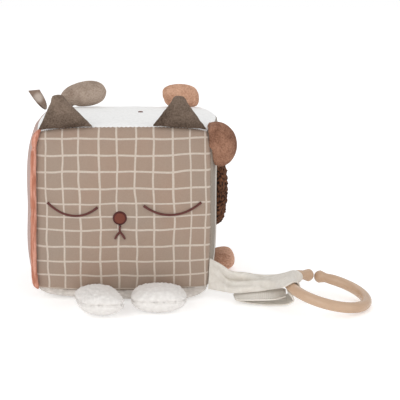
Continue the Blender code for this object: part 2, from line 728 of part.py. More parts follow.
def make_tail(parts, finish):
    """The strap's folded end, which lies under the run on the floor."""
    frame = ring_frame()
    left = frame @ Vector((-lip_radius(), 0, 0))
    bm = bmesh.new()
    bmesh.ops.create_cube(bm, size=1)
    flat = [edge for edge in bm.edges if abs(edge.verts[0].co.z - edge.verts[1].co.z) < 1 / 2]
    bmesh.ops.subdivide_edges(bm, edges=flat, cuts=TAIL_CELLS - 1, use_grid_fill=True)
    for vert in bm.verts:
        x, y, z = vert.co
        wave = PLEAT_DEPTH * (1 + math.sin(math.pi * PLEATS * (y + PLEAT_SLANT_SHARE * x))) / 2
        thin = TAIL_THIN_SHARE * ((2 * x) ** 4 + (2 * y) ** 4)
        height = TAIL_THICKNESS * (1 - thin) + wave
        height *= (z + 1 / 2) * (TAIL_LOW_SHARE + TAIL_RISE_SHARE * x)
        vert.co = (x * TAIL_LENGTH, y * TAIL_WIDTH + x * TAIL_LENGTH * TAIL_SLANT_SHARE, height)
    mesh = mesh_from(bm, "strap_tail")
    place = Matrix.Translation(Vector((left.x - TAIL_LENGTH * TAIL_BACK_SHARE, left.y, FLOOR_GAP)))
    add_object("strap_tail", mesh, finish, parts, place)


def main():
    clear_scene()
    parts = new_collection("soft_fabric_block")
    cutters = new_collection("cutters")
    finishes = {
        "foam": material("foam", (0.80, 0.78, 0.70), 0.95),
        "front_panel": material("plaid_jersey", (0.36, 0.26, 0.20), 0.92),
        "back_panel": material("back_jersey", (0.42, 0.35, 0.29), 0.92),
        "left_panel": material("mauve_jersey", (0.48, 0.34, 0.30), 0.92),
        "right_panel": material("beige_jersey", (0.34, 0.29, 0.25), 0.92),
        "top_panel": material("white_plush", (0.86, 0.86, 0.85), 0.95),
        "bottom_panel": material("white_sherpa", (0.72, 0.68, 0.64), 0.97),
        "roll": material("salmon_jersey", (0.70, 0.36, 0.26), 0.90),
        "thread": material("maroon_thread", (0.10, 0.03, 0.025), 0.60),
        "nose": material("rust_thread", (0.17, 0.05, 0.03), 0.60),
        "mane": material("brown_boucle", (0.035, 0.012, 0.006), 0.98),
        "velour": material("taupe_velour", (0.18, 0.13, 0.10), 0.90),
        "lobe_velour": material("light_taupe_velour", (0.33, 0.25, 0.19), 0.90),
        "salmon": material("salmon_velour", (0.58, 0.29, 0.18), 0.90),
        "salmon_brown": material("deep_salmon_velour", (0.40, 0.19, 0.12), 0.90),
        "sherpa": material("foot_sherpa", (0.78, 0.75, 0.71), 0.97),
        "ribbon": material("taupe_ribbon", (0.22, 0.16, 0.12), 0.70),
        "muslin": material("cream_muslin", (0.72, 0.68, 0.62), 0.90),
        "ring": material("beige_ring", (0.58, 0.44, 0.32), 0.45),
    }
    cutter = make_block(parts, finishes, cutters)
    make_edge_roll(parts, finishes["roll"])
    join_mouth(*make_face(parts, finishes), cutters)
    make_patches(parts, finishes)
    make_lobes(parts, finishes, cutter)
    make_tag(parts, finishes["ribbon"])
    make_ring(parts, finishes["ring"])
    make_loop(parts, cutters, finishes["muslin"])
    make_strap(parts, finishes["muslin"])
    make_tail(parts, finishes["muslin"])


main()
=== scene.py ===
import math

import bpy
from mathutils import Matrix, Vector, noise


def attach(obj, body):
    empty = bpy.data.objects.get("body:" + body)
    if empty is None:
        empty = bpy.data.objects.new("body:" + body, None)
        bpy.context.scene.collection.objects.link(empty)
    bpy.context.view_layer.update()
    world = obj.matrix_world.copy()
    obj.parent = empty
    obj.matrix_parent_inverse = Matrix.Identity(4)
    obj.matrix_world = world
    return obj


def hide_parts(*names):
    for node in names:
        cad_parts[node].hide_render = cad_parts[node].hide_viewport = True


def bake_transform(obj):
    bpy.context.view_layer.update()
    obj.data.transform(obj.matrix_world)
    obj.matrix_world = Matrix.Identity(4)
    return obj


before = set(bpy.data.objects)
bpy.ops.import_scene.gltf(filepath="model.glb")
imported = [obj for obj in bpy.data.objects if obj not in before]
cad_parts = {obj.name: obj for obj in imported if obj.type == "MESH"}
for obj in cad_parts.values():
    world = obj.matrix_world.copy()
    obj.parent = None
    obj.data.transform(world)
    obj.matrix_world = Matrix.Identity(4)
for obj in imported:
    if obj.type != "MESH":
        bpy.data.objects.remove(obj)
bpy.context.view_layer.update()

# The studio: a plain white floor, a white surround, a large soft light from the upper left and a
# weaker one from the right. The camera stands about a metre in front of the block, a little above.
STUDIO_WHITE = (1.0, 1.0, 1.0)
bpy.ops.object.select_all(action="DESELECT")
bpy.ops.mesh.primitive_plane_add(size=8, location=(0, 0, 0))
floor = bpy.context.object
floor.name = "floor"
floor_white = bpy.data.materials.new("floor_white")
floor_white.use_nodes = True
floor_shader = floor_white.node_tree.nodes["Principled BSDF"]
floor_shader.inputs["Base Color"].default_value = (0.92, 0.92, 0.92, 1)
floor_shader.inputs["Roughness"].default_value = 0.7
floor_shader.inputs["Specular IOR Level"].default_value = 0.2
floor_shader.inputs["Emission Color"].default_value = (*STUDIO_WHITE, 1)
floor_path = floor_white.node_tree.nodes.new("ShaderNodeLightPath")
floor_glow = floor_white.node_tree.nodes.new("ShaderNodeMath")
floor_glow.operation = "MULTIPLY_ADD"
floor_glow.inputs[1].default_value = 0.14
floor_glow.inputs[2].default_value = 0.22
floor_white.node_tree.links.new(floor_path.outputs["Is Camera Ray"], floor_glow.inputs[0])
floor_white.node_tree.links.new(floor_glow.outputs[0], floor_shader.inputs["Emission Strength"])
floor.data.materials.append(floor_white)

surround = bpy.data.worlds.new("white_surround")
surround.use_nodes = True
surround.node_tree.nodes["Background"].inputs["Color"].default_value = (*STUDIO_WHITE, 1)
backdrop = surround.node_tree.nodes["Background"]
backdrop.inputs["Strength"].default_value = 1.0
around = surround.node_tree.nodes.new("ShaderNodeBackground")
around.inputs["Color"].default_value = (*STUDIO_WHITE, 1)
around.inputs["Strength"].default_value = 0.72
seen = surround.node_tree.nodes.new("ShaderNodeLightPath")
either = surround.node_tree.nodes.new("ShaderNodeMixShader")
surround.node_tree.links.new(seen.outputs["Is Camera Ray"], either.inputs[0])
surround.node_tree.links.new(around.outputs[0], either.inputs[1])
surround.node_tree.links.new(backdrop.outputs[0], either.inputs[2])
surround.node_tree.links.new(either.outputs[0], surround.node_tree.nodes["World Output"].inputs[0])
bpy.context.scene.world = surround
bpy.context.scene.view_settings.view_transform = "Standard"


def aim(thing, target):
    """Turns a light to face a point."""
    look = Vector(target) - thing.location
    thing.rotation_euler = look.to_track_quat("-Z", "Y").to_euler()


for name, place, power, width in (
    ("window_light", (-0.60, -1.10, 0.78), 3.8, 1.1),
    ("low_light", (-0.25, -1.45, 0.22), 2.5, 0.8),
    ("fill_light", (1.15, -0.75, 0.50), 1.7, 0.9),
    ("back_light", (0.10, 1.00, 1.10), 2.2, 1.0),
):
    bpy.ops.object.light_add(type="AREA", location=place)
    light = bpy.context.object
    light.name = name
    light.data.energy = power
    light.data.size = width
    aim(light, (0.03, 0, 0.07))

CAMERA_YAW = math.radians(2.175)
CAMERA_PITCH = math.radians(12.198)
bpy.ops.object.camera_add(location=(0.0257, -1.070, 0.300))
camera = bpy.context.object
camera.name = "photo_camera"
camera.rotation_euler = (math.pi / 2 - CAMERA_PITCH, 0, -CAMERA_YAW)
camera.data.sensor_width = 36
camera.data.lens = 111.8
bpy.context.scene.camera = camera

# The block's cover: six panels sewn into a cube over foam. Each swells between its seams, and its
# edge turns in to the seam with the pucker that the stitches pull. All six start as one cube.
HALF = Vector((0.0700, 0.0700, 0.06675))
MIDDLE = Vector((0, 0, 0.07525))
LEFT_CROWN, LEFT_BOW = 0.0102, 0.0018
RIGHT_CROWN, RIGHT_BOW = 0.0062, 0.0026
TOP_RIGHT_BOW = 0.0078
RIGHT_SPREAD, LEFT_SPREAD = 0.0008, 0.0024
FRONT_CROWN, FRONT_BOW = 0.0070, 0.0040
TOP_CROWN, TOP_BOW = 0.0014, 0.0040
BOTTOM_CROWN, BOTTOM_BOW = 0.0072, 0.0018
CORNER_DRAW = 0.0006
COVER_CELLS = 56
SEAM_GROOVE = 0.0010
SEAM_WIDTH = 0.0015
PUCKER = 0.0006
PANEL_SIDES = {
    "front_panel": (1, -1), "back_panel": (1, 1), "left_panel": (0, -1),
    "right_panel": (0, 1), "top_panel": (2, 1), "bottom_panel": (2, -1),
}


def swell(depth, first, second, crown, bow, power=4, reach=2):
    """How far a panel stands past its seams: its crown, and the bow of the seams themselves."""
    pillow = crown * (1 - abs(first) ** power) * (1 - abs(second) ** power)
    return depth * depth * (pillow + bow * (1 - abs(first * second) ** reach))


def block_point(share):
    """The place on or in the stuffed block of a point given as shares of its half sizes."""
    x, y, z = share
    if z > 0:
        rise = swell(z, x, y, TOP_CROWN, TOP_BOW * (1 - y) / 2, 4, 3.5)
    else:
        rise = -swell(z, x, y, BOTTOM_CROWN, BOTTOM_BOW, 8)
    if x > 0:
        sideways = swell(x, y, z, RIGHT_CROWN, RIGHT_BOW + TOP_RIGHT_BOW * max(0, z) ** 3) + RIGHT_SPREAD * x
    else:
        sideways = -swell(x, y, z, LEFT_CROWN, LEFT_BOW) + LEFT_SPREAD * x * min(1, max(0, -1.3 * z))
    place = Vector((
        sideways,
        math.copysign(swell(y, x, z, FRONT_CROWN, FRONT_BOW), y),
        rise,
    ))
    draw = CORNER_DRAW * abs(x * y * z) ** 6
    for axis, value in enumerate(share):
        place[axis] += HALF[axis] * value - math.copysign(draw, value)
    return place + MIDDLE


def cover_point(side, first, second):
    """A point on the outside of one panel, drawn in and puckered towards its seams."""
    axis, sign = side
    share = [first, second]
    share.insert(axis, sign)
    place = block_point(share)
    across = [0, 1, 2]
    across.remove(axis)
    grooves = []
    for part, way in zip((first, second), across):
        near = (1 - abs(part)) * HALF[way]
        groove = SEAM_GROOVE * math.exp(-((near / SEAM_WIDTH) ** 2))
        grooves.append(groove)
        place[way] -= math.copysign(groove, part)
        wave = noise.noise(place * 95 + Vector((axis, sign, way)) * 7)
        place[axis] += sign * PUCKER * wave * math.exp(-near / 0.011) * (1 - groove / SEAM_GROOVE)
    place[axis] -= sign * max(grooves)
    broad = noise.noise(place * 22 + Vector((axis, sign, 3)) * 5)
    place[axis] += sign * 0.0005 * broad * (1 - first ** 4) * (1 - second ** 4)
    return place


def only(piece):
    """Leaves one piece selected and active."""
    bpy.ops.object.select_all(action="DESELECT")
    piece.select_set(True)
    bpy.context.view_layer.objects.active = piece


def finish_with(piece, kind, **settings):
    """Adds a modifier to a piece and applies it."""
    only(piece)
    step = piece.modifiers.new(kind.title(), kind)
    for key, value in settings.items():
        setattr(step, key, value)
    bpy.ops.object.modifier_apply(modifier=step.name)


bpy.ops.object.select_all(action="DESELECT")
bpy.ops.mesh.primitive_cube_add(size=2, location=(0, 0, 0))
cover = bpy.context.object
cover.name = "cover"
bpy.ops.object.mode_set(mode="EDIT")
bpy.ops.mesh.select_mode(type="FACE")
bpy.ops.mesh.select_all(action="SELECT")
bpy.ops.mesh.subdivide(number_cuts=COVER_CELLS - 1)
bpy.ops.object.mode_set(mode="OBJECT")

panels = {}
for panel_name, (axis, sign) in PANEL_SIDES.items():
    only(cover)
    if len(panels) == len(PANEL_SIDES) - 1:
        panel = cover
    else:
        for face in cover.data.polygons:
            face.select = face.normal[axis] * sign > 0.5
        bpy.ops.object.mode_set(mode="EDIT")
        bpy.ops.mesh.separate(type="SELECTED")
        bpy.ops.object.mode_set(mode="OBJECT")
        panel = next(item for item in bpy.context.selected_objects if item != cover)
    panel.name = panel_name + "_cloth"
    panels[panel_name] = panel

for panel_name, panel in panels.items():
    axis, sign = PANEL_SIDES[panel_name]
    for vert in panel.data.vertices:
        spread = [0.28 * part + 0.72 * math.sin(math.pi * part / 2) for part in vert.co]
        spread.pop(axis)
        vert.co = cover_point((axis, sign), *spread)
    only(panel)
    bpy.ops.object.mode_set(mode="EDIT")
    bpy.ops.mesh.select_mode(type="EDGE")
    bpy.ops.mesh.select_all(action="SELECT")
    bpy.ops.mesh.region_to_loop()
    bpy.ops.mesh.extrude_edges_move()
    bpy.ops.transform.resize(value=(0.975, 0.975, 0.975), center_override=MIDDLE)
    bpy.ops.object.mode_set(mode="OBJECT")
    finish_with(panel, "SUBSURF", levels=1, render_levels=1)
    finish_with(panel, "SOLIDIFY", thickness=0.0010, offset=-1)
    bpy.ops.object.shade_smooth()
    panel.data.materials.clear()
    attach(panel, "block")
    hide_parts(panel_name)


# The front panel is a fine ribbed jersey in taupe, with a woven-look check of thin cream lines. The
# lines wander a little, because the cloth is stretched over the stuffing. Their places are set out
# across and up the panel in metres.
CHECK_UPRIGHTS = (-0.0760, -0.0618, -0.0481, -0.0351, -0.0181, -0.0043, 0.0111, 0.0258, 0.0421, 0.0559,
                  0.0682, 0.0820)
CHECK_LEVELS = (-0.0020, 0.0096, 0.0225, 0.0344, 0.0471, 0.0615, 0.0724, 0.0832, 0.0957, 0.1097, 0.1229,
                0.1360, 0.1490, 0.1600)


def linear(red, green, blue):
    """A colour from 0 to 255, as a screen gives it, on the scale that shaders use."""
    parts = []
    for value in (red, green, blue):
        part = value / 255
        parts.append(part / 12.92 if part <= 0.04045 else ((part + 0.055) / 1.055) ** 2.4)
    return (*parts, 1)


def add_node(finish, kind, inputs=None, **settings):
    """Adds a shader node. An input is a number, a colour or the output that feeds it."""
    made = finish.node_tree.nodes.new(kind)
    for key, value in settings.items():
        setattr(made, key, value)
    for key, value in (inputs or {}).items():
        if isinstance(value, bpy.types.NodeSocket):
            finish.node_tree.links.new(value, made.inputs[key])
        else:
            made.inputs[key].default_value = value
    return made


def new_finish(name, roughness, sheen=0.0, sheen_colour=(1, 1, 1, 1)):
    """A cloth shader with soft, dull gloss. Its pile or fibre ends show as sheen."""
    finish = bpy.data.materials.new(name)
    finish.use_nodes = True
    shader = finish.node_tree.nodes["Principled BSDF"]
    shader.inputs["Roughness"].default_value = roughness
    shader.inputs["Specular IOR Level"].default_value = 0.2
    shader.inputs["Sheen Weight"].default_value = sheen
    shader.inputs["Sheen Roughness"].default_value = 0.5
    shader.inputs["Sheen Tint"].default_value = sheen_colour
    return finish, shader


def feed(finish, output, socket):
    finish.node_tree.links.new(output, socket)


def speckle(finish, coords, scale, detail=2.0):
    """A soft noise with values from 0 to 1, at so many spots a metre."""
    return add_node(finish, "ShaderNodeTexNoise",
                    {"Vector": coords, "Scale": scale, "Detail": detail}).outputs["Fac"]


def ribs(finish, coords, spacing, direction):
    """Fine even ribs, so far apart in metres, along one axis."""
    return add_node(finish, "ShaderNodeTexWave",
                    {"Vector": coords, "Scale": math.pi / 10 / spacing, "Distortion": 0.6,
                     "Detail": 1.0, "Detail Scale": 3.0},
                    wave_type="BANDS", bands_direction=direction).outputs["Fac"]


def sum_of(finish, first, second, share):
    """The first pattern plus a share of the second."""
    return add_node(finish, "ShaderNodeMath", {0: second, 1: share, 2: first},
                    operation="MULTIPLY_ADD").outputs[0]


def tint(finish, factor, dark, light):
    """Runs between two colours as the factor goes from 0 to 1."""
    return add_node(finish, "ShaderNodeMix", {0: factor, 6: dark, 7: light},
                    data_type="RGBA").outputs[2]


def raise_by(finish, shader, height, depth):
    """Feeds a pattern into the surface as relief, so deep in metres."""
    bump = add_node(finish, "ShaderNodeBump", {"Height": height, "Distance": depth, "Strength": 1.0})
    feed(finish, bump.outputs[0], shader.inputs["Normal"])


def check_line(finish, coords, axis, cell):
    """1 on the check's lines along one axis and 0 between them."""
    place = add_node(finish, "ShaderNodeSeparateXYZ", {0: coords}).outputs[axis]
    away = add_node(finish, "ShaderNodeMath", {0: place, 1: 0.5}, operation="PINGPONG").outputs[0]
    return add_node(finish, "ShaderNodeMapRange",
                    {0: away, 1: 0.00058 / cell, 2: 0.00092 / cell, 3: 1.0, 4: 0.0},
                    interpolation_type="SMOOTHSTEP").outputs[0]


# Inside the cover is one cut block of soft foam. It fills the cover and holds the block's shape.
FOAM_SHARE = 0.955
bpy.ops.object.select_all(action="DESELECT")
bpy.ops.mesh.primitive_cube_add(size=2, location=(0, 0, 0))
foam = bpy.context.object
foam.name = "foam_block"
bpy.ops.object.mode_set(mode="EDIT")
bpy.ops.mesh.select_all(action="SELECT")
bpy.ops.mesh.subdivide(number_cuts=15)
bpy.ops.object.mode_set(mode="OBJECT")
for vert in foam.data.vertices:
    vert.co = block_point(vert.co * FOAM_SHARE)
bpy.ops.object.shade_smooth()
foam.data.materials.clear()
foam_finish, foam_shader = new_finish("pale_foam", 0.9)
foam_shader.inputs["Base Color"].default_value = linear(232, 226, 208)
foam.data.materials.append(foam_finish)
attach(foam, "block")
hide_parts("foam_core")


def cell_at(lines, place):
    """How many cells along the check a place is."""
    for index, (low, high) in enumerate(zip(lines, lines[1:])):
        if place <= high:
            return index + (place - low) / (high - low)
    return len(lines) - 1


FRONT_LIP, LIP_REACH = 0.0010, 0.0030
WANDER_SEED = 5
front = panels["front_panel"]
for vert in front.data.vertices:
    edge = block_point((max(-1, min(1, vert.co.x / HALF.x)), -1, 1)).z
    near_edge = max(0, 1 - max(0, edge - vert.co.z) / LIP_REACH)
    vert.co.z += FRONT_LIP * near_edge * near_edge
noise.seed_set(WANDER_SEED)
print_map = front.data.uv_layers.new(name="check")
for loop in front.data.loops:
    place = front.data.vertices[loop.vertex_index].co
    wander = noise.noise_vector(place * 30) * 0.09 + noise.noise_vector(place * 75) * 0.045
    print_map.data[loop.index].uv = (cell_at(CHECK_UPRIGHTS, place.x) + wander.x,
                                     cell_at(CHECK_LEVELS, place.z) + wander.z)

jersey, jersey_shader = new_finish("taupe_check_jersey", 0.9, 0.15)
body_coords = add_node(jersey, "ShaderNodeTexCoord").outputs["Object"]
print_coords = add_node(jersey, "ShaderNodeUVMap", uv_map="check").outputs[0]
uprights = check_line(jersey, print_coords, 0, 0.0145)
levels = check_line(jersey, print_coords, 1, 0.0127)
lines = add_node(jersey, "ShaderNodeMath", {0: uprights, 1: levels}, operation="MAXIMUM").outputs[0]
knit = ribs(jersey, body_coords, 0.0009, "X")
ground = sum_of(jersey, speckle(jersey, body_coords, 900), knit, 0.5)
ground_colour = tint(jersey, ground, linear(143, 122, 107), linear(171, 152, 136))
blotch = speckle(jersey, body_coords, 22)
blotch_colour = tint(jersey, blotch, linear(172, 136, 115), linear(156, 147, 136))
ground_colour = add_node(jersey, "ShaderNodeMix", {0: 0.5, 6: ground_colour, 7: blotch_colour},
                         data_type="RGBA").outputs[2]
line_colour = tint(jersey, speckle(jersey, body_coords, 700), linear(190, 175, 160), linear(216, 203, 191))
jersey_colour = add_node(jersey, "ShaderNodeMix", {0: lines, 6: ground_colour, 7: line_colour},
                         data_type="RGBA").outputs[2]
feed(jersey, jersey_colour, jersey_shader.inputs["Base Color"])
raise_by(jersey, jersey_shader, sum_of(jersey, sum_of(jersey, knit, ground, 0.6), lines, 0.5), 0.00012)
front.data.materials.append(jersey)

# The back, left and right panels are plain fine jersey: warm beige, mauve and grey-beige. The right
# panel carries a painted highlight: a pale band near its front edge, where its bulge turns towards the light.
PAINTED_HIGHLIGHT_PLACE = -0.0540
PAINTED_HIGHLIGHT_HALF = 0.0060


def plain_jersey(name, dark, light, direction):
    """Ribbed jersey of one colour, a little uneven as knitted cloth is."""
    finish, shader = new_finish(name, 0.92, 0.15)
    coords = add_node(finish, "ShaderNodeTexCoord").outputs["Object"]
    knit = ribs(finish, coords, 0.0009, direction)
    grain = sum_of(finish, speckle(finish, coords, 900), knit, 0.4)
    colour = tint(finish, grain, linear(*dark), linear(*light))
    feed(finish, colour, shader.inputs["Base Color"])
    raise_by(finish, shader, sum_of(finish, knit, grain, 0.6), 0.00012)
    return finish, shader, coords, colour


for panel_name, slot_name, dark, light, direction in (
    ("back_panel", "back_jersey", (158, 141, 126), (184, 168, 154), "X"),
    ("left_panel", "mauve_jersey", (170, 141, 132), (198, 171, 163), "Y"),
    ("right_panel", "beige_jersey", (130, 119, 107), (160, 149, 137), "Y"),
):
    plain, plain_shader, plain_coords, plain_colour = plain_jersey(slot_name, dark, light, direction)
    # The pale band is painted light: the highlight where the right panel turns towards the light.
    if panel_name == "right_panel":
        depth = add_node(plain, "ShaderNodeSeparateXYZ", {0: plain_coords}).outputs[1]
        painted_highlight = add_node(plain, "ShaderNodeMath",
                          {0: depth, 1: PAINTED_HIGHLIGHT_PLACE, 2: PAINTED_HIGHLIGHT_HALF}, operation="COMPARE")
        highlighted_colour = add_node(plain, "ShaderNodeMix",
                           {0: painted_highlight.outputs[0], 6: plain_colour, 7: linear(204, 196, 186)},
                           data_type="RGBA")
        feed(plain, highlighted_colour.outputs[2], plain_shader.inputs["Base Color"])
    panels[panel_name].data.materials.append(plain)

# The top panel is white short-pile plush and the bottom panel is cream sherpa, painted darker as shade.
# Its curls stand out where the bottom shows below the front seam. The flat part of the bottom stands on the floor.
CURL = 0.0035
FRONT_SEAM_HEIGHT = 0.0085
FRONT_ROLL = (0.0080, 0.0200)


def curl_height(place, size):
    """Rounded curls of pile, so wide in metres: 1 on a curl and 0 between curls."""
    near = noise.voronoi(place / size)[0]
    return max(0.0, min(1.0, 1.15 * (near[1] - near[0]) ** 0.5)) * (1 - 0.35 * near[0])


def pile_finish(name, dark, light, curl, depth, sheen):
    """White pile: soft curls with fine fibre on them, with painted shade in the hollows between curls."""
    finish, shader = new_finish(name, 0.95, sheen)
    coords = add_node(finish, "ShaderNodeTexCoord").outputs["Object"]
    wander = add_node(finish, "ShaderNodeTexNoise", {"Vector": coords, "Scale": 260.0, "Detail": 3.0})
    moved = add_node(finish, "ShaderNodeVectorMath",
                     {0: wander.outputs["Color"], 1: (curl, curl, curl), 2: coords},
                     operation="MULTIPLY_ADD").outputs[0]
    curls = add_node(finish, "ShaderNodeTexVoronoi", {"Vector": moved, "Scale": 1 / curl},
                     feature="SMOOTH_F1").outputs["Distance"]
    tops = add_node(finish, "ShaderNodeMath", {0: 1.0, 1: curls}, operation="SUBTRACT").outputs[0]
    fibre = speckle(finish, coords, 1600, 4.0)
    height = sum_of(finish, tops, fibre, 0.35)
    # Painted shade: the colour runs from dark in the hollows to light on the curl tops.
    colour = tint(finish, height, linear(*dark), linear(*light))
    feed(finish, colour, shader.inputs["Base Color"])
    raise_by(finish, shader, height, depth)
    return finish


top = panels["top_panel"]
top.data.materials.append(pile_finish("white_plush", (232, 232, 231), (253, 253, 252), 0.0022, 0.00022, 0.3))

bottom = panels["bottom_panel"]
for vert in bottom.data.vertices:
    front_part = min(1, max(0, (-vert.co.y / HALF.y - 0.35) / 0.45))
    right_part = min(1, max(0, 0.5 + vert.co.x / 0.09))
    depth_part = 1 - min(1, max(0, vert.co.z / FRONT_SEAM_HEIGHT)) ** 2
    vert.co.y -= (FRONT_ROLL[0] + (FRONT_ROLL[1] - FRONT_ROLL[0]) * right_part) * front_part * depth_part
    if 0.0005 < vert.co.z < 0.02:
        out = Vector((vert.co.x, vert.co.y, 0)).normalized()
        vert.co += out * 0.0013 * (curl_height(vert.co, CURL) - 0.2)
    vert.co.z = max(vert.co.z, 0)
# The bottom's sherpa is painted darker than the feet's, as shade under the block.
bottom.data.materials.append(pile_finish("cream_sherpa_painted_shade", (176, 167, 158), (222, 215, 208), CURL, 0.0005, 0.3))

# The front left seam carries a salmon jersey roll, stuffed with cord and caught in the seam. It is
# fat at its top, pinched a little below, and ends round above the floor.
ROLL_RADIUS = 0.0025
ROLL_POINTS = 44
ROLL_TURN = math.radians(78)


def tube(name, points, radius, shares=None, sides=6):
    """A round run of cloth, thread or rod along points, as a mesh. Shares thin it along the way."""
    bpy.ops.object.select_all(action="DESELECT")
    bpy.ops.curve.primitive_bezier_curve_add(location=(0, 0, 0))
    run = bpy.context.object
    run.name = name
    run.data.dimensions = "3D"
    run.data.bevel_depth = radius
    run.data.bevel_resolution = sides
    run.data.resolution_u = 4
    run.data.use_fill_caps = True
    knots = run.data.splines[0].bezier_points
    knots.add(len(points) - len(knots))
    for index, (knot, place) in enumerate(zip(knots, points)):
        knot.co = place
        knot.radius = shares[index] if shares else 1
        knot.handle_left_type = knot.handle_right_type = "AUTO"
    bpy.ops.object.convert(target="MESH")
    run = bpy.context.object
    bpy.ops.object.mode_set(mode="EDIT")
    bpy.ops.mesh.select_all(action="SELECT")
    bpy.ops.mesh.remove_doubles(threshold=0.00001)
    bpy.ops.mesh.normals_make_consistent(inside=False)
    bpy.ops.object.mode_set(mode="OBJECT")
    bpy.ops.object.shade_smooth()
    run.data.materials.clear()
    return run


roll_points, roll_shares = [], []
roll_away = Vector((-math.cos(ROLL_TURN), -math.sin(ROLL_TURN), 0))
for index in range(ROLL_POINTS):
    t = index / (ROLL_POINTS - 1)
    place = block_point((-1, -1, 1.98 * t - 0.99))
    over, under = max(0, t - 0.93) / 0.07, max(0, 0.04 - t) / 0.04
    place += Vector((0.0046 * over * over + 0.0016 * under, 0.0012 * over, 0.0032 * over))
    pinch = 0.30 * math.exp(-(((t - 0.905) / 0.022) ** 2))
    full = 1 - pinch + 0.12 * noise.noise(Vector((0, 3, t * 11))) + 0.10 * max(0, t - 0.93) / 0.07
    ends = min(1, 0.25 + 28 * t, 0.3 + 24 * (1 - t))
    roll_shares.append(full * ends)
    roll_points.append(place + roll_away * (ROLL_RADIUS * full + 0.0004 - 0.0006 * pinch))
roll = tube("salmon_roll", roll_points, ROLL_RADIUS, roll_shares, 5)
for vert in roll.data.vertices:
    vert.co += vert.normal * 0.00022 * noise.noise(Vector((vert.co.x * 60, vert.co.y * 60, vert.co.z * 330)))
salmon, salmon_shader, salmon_coords, salmon_plain = plain_jersey(
    "salmon_jersey", (196, 132, 110), (226, 168, 148), "Z")
# Painted shade: darker lengthwise streaks stand for the shade in the roll's creases.
crease_shade_coords = add_node(salmon, "ShaderNodeVectorMath", {0: salmon_coords, 1: (1, 1, 0.10)},
                        operation="MULTIPLY")
painted_crease_shade = add_node(salmon, "ShaderNodeMapRange",
                   {0: speckle(salmon, crease_shade_coords.outputs[0], 520), 1: 0.42, 2: 0.60}).outputs[0]
salmon_mixed = add_node(salmon, "ShaderNodeMix", {0: painted_crease_shade, 6: linear(182, 117, 93), 7: salmon_plain},
                        data_type="RGBA").outputs[2]
feed(salmon, salmon_mixed, salmon_shader.inputs["Base Color"])
roll.data.materials.append(salmon)
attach(roll, "block")
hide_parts("left_edge_roll")

# The sleeping cat's face is satin stitch: thick glossy maroon thread for the closed eyes and the
# mouth, and a round rust nose with a darker stitched rim. It stands a millimetre off the jersey.
THREAD_RADIUS = 0.00105
EYE_HEIGHT, EYE_DROP = 0.0824, 0.0087
EYES = {"left_eye": (-0.0398, 0.0396, -0.0018), "right_eye": (0.0394, 0.0446, 0.0008)}
NOSE_PLACE = (-0.0022, 0.0715)
NOSE_RADIUS = 0.00575
MOUTH_FORK = 0.0596


def on_front(x, z, lift):
    """A point so far in front of the front panel."""
    place = block_point((x / HALF.x, -1, (z - MIDDLE.z) / HALF.z))
    return place - Vector((0, lift, 0))


def thread_finish(name, dark, light, direction, spacing=0.0005):
    """Satin stitch: threads side by side, each catching a little light."""
    finish, shader = new_finish(name, 0.5, 0.1)
    shader.inputs["Specular IOR Level"].default_value = 0.4
    coords = add_node(finish, "ShaderNodeTexCoord").outputs["Object"]
    threads = ribs(finish, coords, spacing, direction)
    mixed = sum_of(finish, threads, speckle(finish, coords, 500), 0.4)
    feed(finish, tint(finish, mixed, linear(*dark), linear(*light)), shader.inputs["Base Color"])
    raise_by(finish, shader, threads, 0.00015)
    return finish


upright_thread = thread_finish("maroon_thread", (66, 26, 24), (112, 58, 50), "X")
level_thread = thread_finish("maroon_thread_across", (66, 26, 24), (112, 58, 50), "Z")
for eye_name, (middle, span, tilt) in EYES.items():
    places, shares = [], []
    for index in range(25):
        t = index / 12 - 1
        drop = EYE_DROP * (1 - abs(t) ** 2.1)
        end = math.exp(-(((1 - abs(t)) / 0.09) ** 2))
        places.append(on_front(middle + t * span / 2, EYE_HEIGHT - drop + tilt * t, 0.0006))
        shares.append(0.90 + 0.06 * noise.noise(Vector((t * 4, middle * 90, 0))) + 0.22 * end)
    eye = tube(eye_name + "_stitch", places, THREAD_RADIUS, shares, 4)
    eye.data.materials.append(upright_thread)
    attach(eye, "block")
    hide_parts(eye_name)

mouth_lines = (
    [(NOSE_PLACE[0], NOSE_PLACE[1] - NOSE_RADIUS - 0.0002), (NOSE_PLACE[0] - 0.0002, 0.0625),
     (NOSE_PLACE[0], MOUTH_FORK)],
    [(NOSE_PLACE[0], MOUTH_FORK + 0.0004), (NOSE_PLACE[0] - 0.0022, 0.0575), (NOSE_PLACE[0] - 0.0041, 0.0543)],
    [(NOSE_PLACE[0], MOUTH_FORK + 0.0004), (NOSE_PLACE[0] + 0.0022, 0.0573), (NOSE_PLACE[0] + 0.0040, 0.0541)],
)
strokes = []
for index, line in enumerate(mouth_lines):
    stroke = tube("mouth_stroke", [on_front(x, z, 0.0006) for x, z in line], THREAD_RADIUS,
                  (0.95, 0.85, 0.95) if index == 0 else (0.9, 0.95, 0.75), 4)
    strokes.append(stroke)
only(strokes[0])
for stroke in strokes:
    stroke.select_set(True)
bpy.ops.object.join()
mouth = bpy.context.object
mouth.name = "mouth_stitch"
mouth.data.materials.append(level_thread)
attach(mouth, "block")
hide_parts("mouth")


